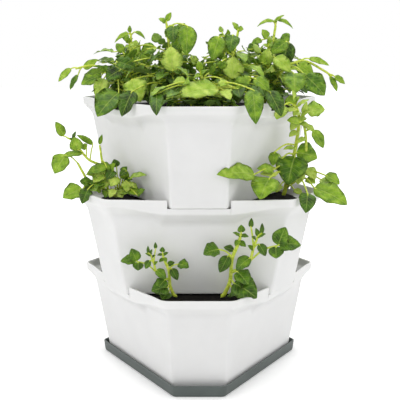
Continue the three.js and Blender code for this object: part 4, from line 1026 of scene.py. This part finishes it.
TALL_LEAVES = [
    [0, 0.4, 0.08, 0.2, 0.42, 0, 0.35, 0.185, 0.25, 0.25, 0.05],
    [0, 0.42, 0.1, 0.14, 0.45, 0.3, 0.15, 0.41, 0.19, 0.4, 0.05],
    [0, 0.15, -0.19, 0.64, 0.28, -0.29, 0.8, 0.11, 0.22, 0.5, 0],
    [0, 0.2, -0.33, 0.61, 0.31, -0.68, 0.89, 0.345, 0.15, 0.6, 0],
    [0, 0.3, -0.14, 0.36, 0.315, -0.3, 0.5, 0.345, 0.085, 0.55, 0],
    [0, 0.55, -0.125, 0.36, 0.485, -0.145, 0.38, 0.355, 0.08, 0.5, 0],
    [1, 0.2, 0.25, 0.36, 0.14, 0.55, 0.46, 0, 0.19, 0.5, 0],
    [1, 0.25, 0.37, 0.23, 0.245, 0.505, 0.25, 0.16, 0.11, 0.5, 0],
    [1, 0.15, 0.16, 0.58, 0.13, 0.13, 0.72, -0.03, 0.13, 0.1, 0],
    [1, 0.8, 0.245, 0.23, 0.675, 0.345, 0.23, 0.505, 0.09, 0.5, 0],
    [1, 1, 0.18, 0.27, 0.85, 0.345, 0.27, 0.875, 0.15, 0.65, 0],
    [0, 1, -0.08, 0.43, 0.92, -0.17, 0.48, 0.8, 0.13, 0.8, 0],
    [0, 1, 0.025, 0.34, 0.93, 0, 0.34, 1.01, 0.1, 0.5, 0],
    [0, 0.8, 0.105, 0.34, 0.76, -0.02, 0.36, 0.78, 0.08, 0.6, 0],
    [0, 1, 0.06, 0.3, 0.93, 0.1, 0.34, 1, 0.05, 0.9, 0],
    [0, 1, 0.03, 0.32, 0.9, -0.04, 0.4, 0.93, 0.06, 0.9, 0],
    [0, 0.9, 0.1, 0.26, 0.85, 0.04, 0.36, 0.82, 0.07, 1, 0],
    [0, 0.85, 0.12, 0.26, 0.8, 0.2, 0.32, 0.86, 0.06, 0.9, 0],
    [1, 1, 0.15, 0.25, 0.83, 0.17, 0.3, 0.95, 0.05, 0.9, 0],
    [1, 0.95, 0.16, 0.24, 0.8, 0.08, 0.34, 0.74, 0.07, 0.95, 0],
    [0, 0.8, 0.1, 0.24, 0.76, 0.02, 0.32, 0.68, 0.07, 0.95, 0],
    [1, 0.85, 0.17, 0.2, 0.72, 0.25, 0.28, 0.66, 0.06, 0.8, 0],
    [0, 0.25, -0.12, 0.4, 0.27, -0.27, 0.46, 0.29, 0.07, 1, 0],
    [1, 0.25, 0.33, 0.2, 0.2, 0.45, 0.28, 0.14, 0.13, 0.85, 0],
    [1, 0.3, 0.2, 0.14, 0.3, 0.28, 0.2, 0.2, 0.1, 0.9, 0],
    [1, 0.2, 0.12, 0.24, 0.28, 0.1, 0.32, 0.17, 0.1, 0.9, 0],
    [0, 0.97, 0.05, 0.34, 0.97, 0.02, 0.4, 1.06, 0.05, 0.9, 0],
    [0, 0.95, 0.08, 0.3, 0.9, 0.19, 0.34, 0.97, 0.05, 0.95, 0],
    [0, 0.9, 0.07, 0.34, 0.88, -0.06, 0.4, 0.87, 0.05, 1, 0],
    [0, 0.8, 0.11, 0.25, 0.74, 0.2, 0.32, 0.72, 0.05, 0.9, 0],
    [0, 0.7, 0.1, 0.22, 0.66, 0.01, 0.3, 0.62, 0.06, 0.9, 0],
    [1, 0.75, 0.17, 0.2, 0.6, 0.1, 0.3, 0.56, 0.05, 0.9, 0],
    [0, 0.5, 0.08, 0.2, 0.5, -0.04, 0.3, 0.5, 0.05, 0.7, 0],
    [0, 0.45, -0.05, 0.3, 0.42, -0.17, 0.38, 0.47, 0.04, 0.6, 0],
    [0, 0.12, 0.08, 0.2, 0.1, 0.15, 0.28, 0.05, 0.06, 0.9, 0],
    [0, 0.15, -0.05, 0.16, 0.14, -0.1, 0.24, 0.08, 0.06, 0.9, 0],
    [1, 0.1, 0.2, 0.14, 0.2, 0.28, 0.2, 0.16, 0.08, 0.8, 0],
]
LEANING_STEMS = [
    [[0, 0, 0], [-0.17, 0.05, 0.15], [-0.33, 0.1, 0.25], [-0.39, 0.12, 0.35], [-0.45, 0.13, 0.47]],
    [[-0.08, 0.02, 0.07], [-0.15, 0.06, 0.45], [-0.17, 0.08, 0.63], [-0.18, 0.08, 0.69]],
    [
        [-0.145, 0.06, 0.43], [-0.31, 0.1, 0.505], [-0.41, 0.12, 0.625], [-0.5, 0.13, 0.745],
        [-0.575, 0.14, 0.79],
    ],
    [[-0.01, 0, 0.02], [0.09, 0.1, 0.18], [0.165, 0.14, 0.255]],
]
LEANING_LEAVES = [
    [2, 0.6, -0.43, 0.2, 0.64, -0.475, 0.22, 0.81, 0.14, 0.6, 0],
    [2, 0.45, -0.385, 0.15, 0.59, -0.66, 0.15, 0.55, 0.09, 0.4, 0],
    [0, 1, -0.59, 0.16, 0.575, -0.73, 0.22, 0.35, 0.19, 0.55, 0],
    [2, 1, -0.62, 0.14, 0.81, -0.71, 0.16, 0.99, 0.1, 0.5, 0],
    [2, 0.8, -0.5, 0.14, 0.77, -0.46, 0.14, 0.87, 0.045, 0.1, 0],
    [2, 0.7, -0.47, 0.14, 0.72, -0.54, 0.16, 0.79, 0.05, 0.2, 0],
    [2, 0.3, -0.265, 0.07, 0.7, -0.465, 0.05, 0.815, 0.065, 0.4, 0],
    [1, 1, -0.18, 0.08, 0.7, -0.145, 0.08, 0.825, 0.045, 0.4, 0],
    [2, 0.4, -0.33, 0.18, 0.66, -0.4, 0.18, 0.695, 0.09, 0.5, 0],
    [0, 0.5, -0.38, 0.3, 0.12, -0.61, 0.38, 0.07, 0.2, 0.5, 0],
    [0, 0.4, -0.3, 0.36, 0.16, -0.36, 0.5, 0.02, 0.13, 0.05, 0],
    [0, 0.35, -0.24, 0.3, 0.12, -0.2, 0.44, 0.04, 0.1, 0.45, 0],
    [0, 0.55, -0.31, 0.16, 0.25, -0.3, 0.2, 0.12, 0.13, 0.2, 0],
    [1, 0.7, -0.09, 0.15, 0.42, -0.33, 0.2, 0.35, 0.12, 0.4, 0],
    [3, 0.8, 0.135, 0.14, 0.27, 0.125, 0.16, 0.42, 0.1, 0.5, 0],
    [3, 1, 0.2, 0.24, 0.295, 0.475, 0.51, 0.375, 0.085, 0.6, 0],
    [3, 0.5, 0.31, 0.45, 0.12, 0.41, 0.51, 0.2, 0.085, 0.4, 0],
    [3, 0.5, 0.1, 0.25, 0.12, 0.22, 0.35, 0.13, 0.1, 0.4, 0],
    [1, 0.5, -0.05, 0.12, 0.36, 0.02, 0.16, 0.47, 0.1, 0.5, 0],
    [1, 0.5, -0.1, 0.12, 0.4, -0.27, 0.2, 0.38, 0.14, 0.6, 0],
    [1, 0.4, -0.13, 0.15, 0.34, -0.25, 0.22, 0.24, 0.15, 0.8, 0],
    [0, 0.4, -0.2, 0.16, 0.18, -0.38, 0.24, 0.1, 0.15, 0.05, 0],
    [0, 0.3, -0.16, 0.2, 0.14, -0.27, 0.26, 0.06, 0.13, 0.5, 0],
    [3, 0.3, 0, 0.16, 0.38, -0.08, 0.24, 0.28, 0.12, 0.05, 0],
    [3, 0.3, 0.03, 0.1, 0.42, 0, 0.12, 0.52, 0.09, 0.15, 0],
    [3, 0.5, 0.06, 0.22, 0.3, -0.03, 0.3, 0.2, 0.13, 0.8, 0],
    [3, 0.8, 0.17, 0.26, 0.26, 0.17, 0.34, 0.14, 0.12, 0.9, 0],
    [3, 0.8, 0.2, 0.3, 0.16, 0.33, 0.36, 0.12, 0.12, 0.45, 0],
    [3, 0.3, 0.05, 0.24, 0.14, 0.12, 0.32, 0.05, 0.12, 0.8, 0],
    [0, 0.15, -0.05, 0.2, 0.14, -0.1, 0.3, 0.04, 0.12, 0.3, 0],
    [1, 0.6, -0.16, 0.1, 0.46, -0.04, 0.16, 0.38, 0.09, 0.35, 0],
    [1, 0.3, -0.2, 0.14, 0.3, -0.34, 0.22, 0.34, 0.1, 0.6, 0],
    [1, 0.3, -0.06, 0.16, 0.26, -0.16, 0.24, 0.16, 0.11, 0.7, 0],
    [3, 0.4, 0.1, 0.12, 0.34, 0.17, 0.16, 0.43, 0.08, 0.05, 0],
    [3, 0.6, 0.12, 0.18, 0.24, 0.24, 0.24, 0.28, 0.09, 0.1, 0],
    [3, 0.6, 0.16, 0.2, 0.38, 0.08, 0.24, 0.32, 0.08, 0.15, 0],
    [3, 0.7, 0.15, 0.24, 0.2, 0.27, 0.32, 0.22, 0.09, 0.95, 0],
    [3, 0.4, 0.02, 0.26, 0.16, -0.04, 0.34, 0.06, 0.1, 0.95, 0],
    [3, 0.2, 0, 0.16, 0.2, -0.08, 0.24, 0.24, 0.08, 0.9, 0],
    [0, 0.3, -0.13, 0.18, 0.24, -0.24, 0.26, 0.18, 0.1, 0.35, 0],
    [0, 0.45, -0.29, 0.18, 0.22, -0.42, 0.24, 0.26, 0.11, 0.15, 0],
    [3, 0.9, 0.2, 0.28, 0.24, 0.3, 0.34, 0.18, 0.08, 0.9, 0],
]


# Top pot's plants: where each stands as corner or ring number, its height, its stems and its leaf rows
CORNER_CIRCLE, RING_CIRCLE, SIDE_CIRCLE = 172, 105, 150
TOP_SPREAD = 108
TOP_FORMS = [
    ("corner", 1, CORNER_CIRCLE, 100, [[[0, 0, 0], [0.02, 0.05, 0.4], [0.05, 0.1, 0.75]]], [
        [0, 0.6, -0.8, 0.62, 0.42, -0.79, 1.1, 0.04, 0.26, 0.05, 0],
        [0, 0.8, 0.37, 0.43, 0.5, -0.44, 0.63, 0.36, 0.45, 0.75, 0],
        [0, 0.7, 0.47, 0.43, 0.48, 0.6, 0.7, 0.25, 0.23, 0.85, 0],
        [0, 0.9, 0.54, 0.33, 0.64, 0.36, 0.43, 0.55, 0.18, 0.8, 0],
        [0, 0.6, 1.02, 0.7, 0.5, 1.06, 1.12, -0.12, 0.34, 0.35, 0],
        [0, 0.5, 1.05, 0.2, 0.42, 1.36, 0.42, 0.3, 0.3, 0.1, 0],
        [0, 0.6, 0.75, 0.42, 0.5, 0.78, 0.72, 0.28, 0.26, 0.1, 0],
    ]),
    ("corner", 2, CORNER_CIRCLE, 175, [[[0, 0, 0], [0.05, 0.05, 0.5], [0.12, 0.05, 1]]], [
        [0, 0.6, 0.42, 0.26, 0.79, 0.43, 0.4, 0.46, 0.23, 0.05, 0],
        [0, 0.97, 0.11, 0.03, 1.05, -0.12, 0.09, 1.05, 0.06, 0.6, 0.3],
        [0, 0.98, 0.14, 0.03, 1.07, 0.34, 0.09, 1.02, 0.06, 0.5, 0.3],
        [0, 1, 0.1, 0.03, 1.04, 0.23, 0.06, 1.13, 0.05, 0.6, 0],
        [0, 0.8, -0.06, 0.15, 0.82, -0.23, 0.21, 0.77, 0.09, 0.4, 0],
        [0, 0.8, 0.01, 0.15, 0.84, -0.06, 0.15, 0.95, 0.1, 0.6, 0],
    ]),
    ("corner", 3, CORNER_CIRCLE, 175, [[[0, 0, 0], [0, 0.08, 0.5], [-0.01, 0.15, 0.9]]], [
        [0, 0.96, -0.03, 0.15, 0.9, -0.26, 0.21, 0.84, 0.06, 0.6, 0.3],
        [0, 0.97, 0.05, 0.15, 0.92, 0.21, 0.21, 0.87, 0.05, 0.5, 0.3],
        [0, 1, -0.02, 0.15, 0.91, -0.02, 0.15, 1, 0.05, 0.5, 0],
        [0, 0.6, 0.04, 0.21, 0.63, 0.08, 0.23, 0.82, 0.17, 0.8, 0],
    ]),
    ("ring", 1, RING_CIRCLE, 165, [[[0, 0, 0], [0.08, -0.1, 0.5], [0.18, -0.25, 1]]], [
        [0, 0.8, -0.07, 0.05, 0.91, -0.21, 0.21, 0.62, 0.2, 0.45, 0],
        [0, 0.85, 0.1, -0.04, 0.93, 0.06, 0.12, 0.72, 0.18, 0.2, 0],
        [0, 1, 0.17, -0.25, 0.99, 0.1, -0.25, 1.09, 0.08, 0.6, 0],
        [0, 0.97, 0.18, -0.25, 1, 0.28, -0.25, 1, 0.08, 0.5, 0],
        [0, 0.4, 0.09, 0.22, 0.4, 0.11, 0.12, 0.67, 0.24, 0.8, 0],
        [0, 0.3, 0.3, 0.42, 0.4, 0.12, 0.54, 0.27, 0.17, 0.5, 0],
        [0, 0.3, 0.35, 0.42, 0.41, 0.52, 0.5, 0.27, 0.17, 0.45, 0],
        [0, 0.25, 0.52, 0.44, 0.26, 0.66, 0.62, -0.03, 0.2, 0.1, 0],
    ]),
    ("ring", 2, SIDE_CIRCLE, 165, [
        [[0, 0, 0], [0, 0, 0.4], [-0.02, 0, 0.75]],
        [[0, 0, 0.2], [0.2, 0.05, 0.5], [0.45, 0.02, 0.6], [0.71, 0, 0.48], [0.83, 0, 0.4]],
    ], [
        [0, 0.7, -0.05, 0.12, 0.55, -0.02, 0.12, 0.76, 0.17, 0.75, 0],
        [0, 1, 0.23, 0, 0.85, 0.02, 0.06, 0.69, 0.18, 0.4, 0],
        [0, 0.8, 0.06, 0.18, 0.65, 0.26, 0.28, 0.46, 0.19, 0.7, 0],
        [1, 0.5, 0.37, 0.06, 0.55, 0.57, 0.12, 0.41, 0.18, 0.6, 0],
        [1, 0.3, 0.3, 0.26, 0.45, 0.3, 0.5, 0.12, 0.3, 0.4, 0],
        [1, 0.4, 0.45, 0.27, 0.42, 0.69, 0.36, 0.17, 0.27, 0.25, 0],
        [1, 0.55, 0.52, 0, 0.63, 0.79, 0, 0.54, 0.09, 0.6, 0],
        [1, 0.96, 0.86, 0, 0.4, 1, 0, 0.3, 0.09, 0.5, 0],
        [1, 0.9, 0.8, 0, 0.4, 0.9, 0, 0.2, 0.08, 0.4, 0],
    ]),
    ("ring", 3, RING_CIRCLE, 165, [[[0, 0, 0], [0.02, 0, 0.5], [0.03, 0, 0.9]]], []),
    ("ring", 4, RING_CIRCLE, 165, [[[0, 0, 0], [-0.02, 0, 0.5], [-0.03, 0, 0.9]]], []),
    ("ring", 5, SIDE_CIRCLE, 165, [
        [[0, 0, 0], [0, 0, 0.4], [0.02, 0, 0.75]],
        [[0, 0, 0.2], [-0.2, 0.05, 0.45], [-0.47, 0.03, 0.54], [-0.7, 0.01, 0.5]],
    ], [
        [1, 0.3, -0.1, 0.5, 0.2, -0.34, 0.84, -0.06, 0.34, 0.25, 0],
        [1, 0.4, -0.31, 0.24, 0.38, -0.38, 0.45, 0.12, 0.18, 0.85, 0],
        [1, 0.5, -0.35, 0.12, 0.42, -0.62, 0.12, 0.3, 0.2, 0.4, 0],
        [1, 0.75, -0.59, 0, 0.5, -0.41, 0, 0.62, 0.1, 0.6, 0],
        [1, 0.96, -0.76, 0, 0.5, -0.93, 0, 0.33, 0.09, 0.6, 0],
        [1, 0.9, -0.67, 0, 0.42, -0.78, 0, 0.22, 0.08, 0.3, 0],
        [0, 0.7, -0.09, 0.36, 0.49, -0.26, 0.45, 0.38, 0.21, 0.05, 0],
        [0, 0.8, -0.13, 0.4, 0.6, 0.16, 0.52, 0.52, 0.18, 0.2, 0],
        [0, 1, 0.34, -0.06, 0.78, 0.15, 0, 0.69, 0.17, 0.35, 0],
    ]),
    ("ring", 6, RING_CIRCLE, 165, [[[0, 0, 0], [-0.03, -0.08, 0.5], [-0.09, -0.19, 1.07]]], [
        [0, 1, -0.1, -0.19, 1.08, -0.19, -0.16, 1.13, 0.08, 0.5, 0],
        [0, 1, -0.09, -0.19, 1.1, -0.03, -0.19, 1.21, 0.07, 0.6, 0],
        [0, 0.95, 0, -0.07, 1.04, 0, 0.08, 0.83, 0.18, 0.15, 0],
        [0, 0.95, 0.17, 0.05, 1.04, 0.31, 0.3, 0.68, 0.22, 0.4, 0],
        [0, 0.7, 0.13, -0.1, 0.88, 0, -0.05, 0.74, 0.19, 0.3, 0],
        [0, 0.4, 0, 0.2, 0.49, -0.03, 0.14, 0.79, 0.25, 0.8, 0],
        [0, 0.3, -0.5, 0.2, 0.39, -0.39, 0.38, 0.12, 0.27, 0.7, 0],
        [0, 0.25, -0.48, 0.44, 0.26, -0.6, 0.62, -0.03, 0.2, 0.05, 0],
    ]),
]


def pocket_crown(pocket, out, along):
    """Where a pocket plant stands in its pot's frame: out from the foot above and along the pocket."""
    facing = pocket * THIRD
    return [*((FOOT_SIDE + out) * outward(facing) + along * across(facing)).tolist(), SOIL_TOP]


def in_pocket(places, keep):
    """Places of a pocket's plant, clear of its own pot and of the pot above."""
    return clear_of_pot_above(over_own_pot(places, keep), keep)


def add_pocket_plants():
    """Plants of the two lower pots: four seedlings after the photograph, and a bush in each rear pocket."""
    front, back = 0, math.pi
    seedlings = [  # name, level, crown, height, turn, hand, stems, leaves, stem radius
        ("front_left", 0, (0, 22, -48), 119, front, -1, SEEDLING_STEMS, SEEDLING_LEAVES, 3.8),
        ("front_right", 0, (0, 22, 48), 168, front, 1, SEEDLING_STEMS, SEEDLING_LEAVES, 4.8),
        ("middle_left", 1, (1, 36, -33), 168, back, 1, LEANING_STEMS, LEANING_LEAVES, 3.7),
        ("middle_right", 1, (2, 28, 57), 220, back, 1, TALL_STEMS, TALL_LEAVES, 4.8),
    ]
    for k, (name, level, crown, height, turn, hand, stems, leaves, radius) in enumerate(seedlings):
        look = Look(radius, breadth=1.25, forward=1.0, spare=8)
        place = pocket_crown(*crown), height, turn, hand
        grow(f"plant_{name}", level, *place, stems, leaves, [], look, 11 + k, in_pocket, in_pocket)
    height, reach, out, wound_count, canopy_count = 95, 50, 48, 6, 12
    spread = reach / height
    stem = [[0, 0, 0], [0, 0, 0.5], [0, 0, 1]]
    look = Look(3, breadth=1, forward=0.75, spare=12)
    for name, level, pocket in (("rear_right", 0, 1), ("rear_left", 0, 2), ("middle_rear", 1, 0)):
        rng = np.random.default_rng(pocket)
        rows = winding_leaves(stem, spread, pocket * WINDING, wound_count, rng)
        rows += canopy_leaves(stem, spread, pocket, canopy_count, height, rng)
        place = pocket_crown(pocket, out, 0), height, pocket * THIRD, 1
        grow(f"plant_{name}", level, *place, [stem], [], rows, look, 20 + pocket, in_pocket, in_pocket)


def add_top_plants():
    """Plants of the top pot: one in each corner and six in a ring, thick with leaves down to the rim."""
    crowns = []
    for kind, number, circle, *_ in TOP_FORMS:
        facing = (number - 1) * THIRD if kind == "corner" else (number - 0.5) * SIXTH
        crowns.append([*(circle * outward(facing)).tolist(), SOIL_TOP])
    look = Look(4.2, breadth=1.1, forward=1.4, spare=12)
    wound_count, canopy_count, canopy_turn = 8, 34, 1.2
    for k, (kind, number, _, height, stems, leaves) in enumerate(TOP_FORMS):
        crown, others = crowns[k], crowns[:k] + crowns[k + 1 :]
        spread, phase = TOP_SPREAD / height, k * WINDING
        rng = np.random.default_rng(50 + k)
        rows = winding_leaves(stems[0], spread, phase, wound_count, rng)
        rows += canopy_leaves(stems[0], spread, phase + canopy_turn, canopy_count, height, rng)

        def in_cell(places, keep, crown=crown, others=others):
            return over_own_pot(inside_cell(places, crown, others, keep), keep)

        place = crown, height, 0, 1
        name = f"plant_top_{kind}_{number}"
        grow(name, 2, *place, stems, leaves, rows, look, 60 + k, in_cell, over_own_pot)


add_pocket_plants()
add_top_plants()


# Stage

TOWER_MIDDLE = (0, 0, 0.35)


def add_camera():
    """A camera in the photograph's place, looking a little down."""
    lens = bpy.data.cameras.new("camera")
    lens.sensor_width = SENSOR_MM
    lens.lens = FOCAL_PIXELS / PHOTO_SIDE * SENSOR_MM
    lens.shift_x = (PHOTO_SIDE / 2 - PRINCIPAL_COLUMN) / PHOTO_SIDE
    lens.clip_end = 20
    camera = add_object("camera", lens)
    camera.location = (0, -CAMERA_DISTANCE * MM, CAMERA_HEIGHT * MM)
    camera.rotation_euler = (math.pi / 2 - CAMERA_PITCH, 0, 0)
    bpy.context.scene.camera = camera


def add_light(name, place, size, watts):
    """A square area lamp in metres, facing the tower."""
    lamp = bpy.data.lights.new(name, "AREA")
    lamp.energy = watts
    lamp.size = size
    made = add_object(name, lamp)
    made.location = place
    away = np.array(place) - TOWER_MIDDLE
    lean = math.atan2(np.hypot(away[0], away[1]), away[2])
    made.rotation_euler = (lean, 0, math.atan2(away[1], away[0]) + math.pi / 2)


def add_floor():
    """A plain white floor that glows for the camera alone, more with the distance from the tower's axis.

    Only the tower's soft shadow shows on it.
    """
    side, near_m, far_m = 12.0, 0.35, 1.4
    mesh = bpy.data.meshes.new("floor")
    corners = [(-side, -side, 0), (side, -side, 0), (side, side, 0), (-side, side, 0)]
    mesh.from_pydata(corners, [], [(0, 1, 2, 3)])
    floor = add_object("floor", mesh)
    material, tree = new_material("matt_white_floor")
    place = add_node(tree, "TexCoord")["Object"]
    from_axis = add_node(tree, "VectorMath", {0: place}, operation="LENGTH")["Value"]
    far = {"Value": from_axis, "From Min": near_m, "From Max": far_m, "To Min": 0.2, "To Max": 0.6}
    glow = add_node(tree, "MapRange", far)["Result"]
    seen = add_node(tree, "LightPath")["Is Camera Ray"]
    looks = {
        "Base Color": linear(0xFFFFFF),
        "Roughness": 0.9,
        "Specular IOR Level": 0.0,
        "Emission Color": linear(0xFFFFFF),
        "Emission Strength": add_node(tree, "Math", {0: glow, 1: seen}, operation="MULTIPLY")["Value"],
    }
    surface(tree, looks)
    mesh.materials.append(material)


def add_world():
    """A soft white surround, and plain white where the camera sees it."""
    world = bpy.data.worlds.new("surround")
    bpy.context.scene.world = world
    world.use_nodes = True
    tree = world.node_tree
    tree.nodes.clear()
    ray = add_node(tree, "LightPath")
    either = {0: ray["Is Camera Ray"], 1: ray["Is Glossy Ray"]}
    seen = add_node(tree, "Math", either, operation="MAXIMUM")["Value"]
    strength = add_node(tree, "MapRange", {"Value": seen, "To Min": 0.7, "To Max": 1.0})["Result"]
    sky = add_node(tree, "Background", {"Color": (1.0, 1.0, 1.0, 1.0), "Strength": strength})
    add_node(tree, "OutputWorld", {"Surface": sky["Background"]})


LAMPS = [  # name, place and size in metres, watts
    ("key", (-1.25, -1.0, 1.1), 1.2, 5.5),
    ("fill", (1.3, -1.0, 1.0), 1.2, 4.5),
    ("front", (-0.3, -2.6, 0.5), 2.0, 1.5),
    ("top", (0, 0.3, 2.4), 2.0, 17),
    ("rear_left", (-0.9, 1.5, 1.3), 1.2, 3),
    ("rear_right", (0.9, 1.5, 1.3), 1.2, 3),
]
add_camera()
add_world()
add_floor()
for lamp in LAMPS:
    add_light(*lamp)
bpy.context.scene.view_settings.view_transform = "Standard"
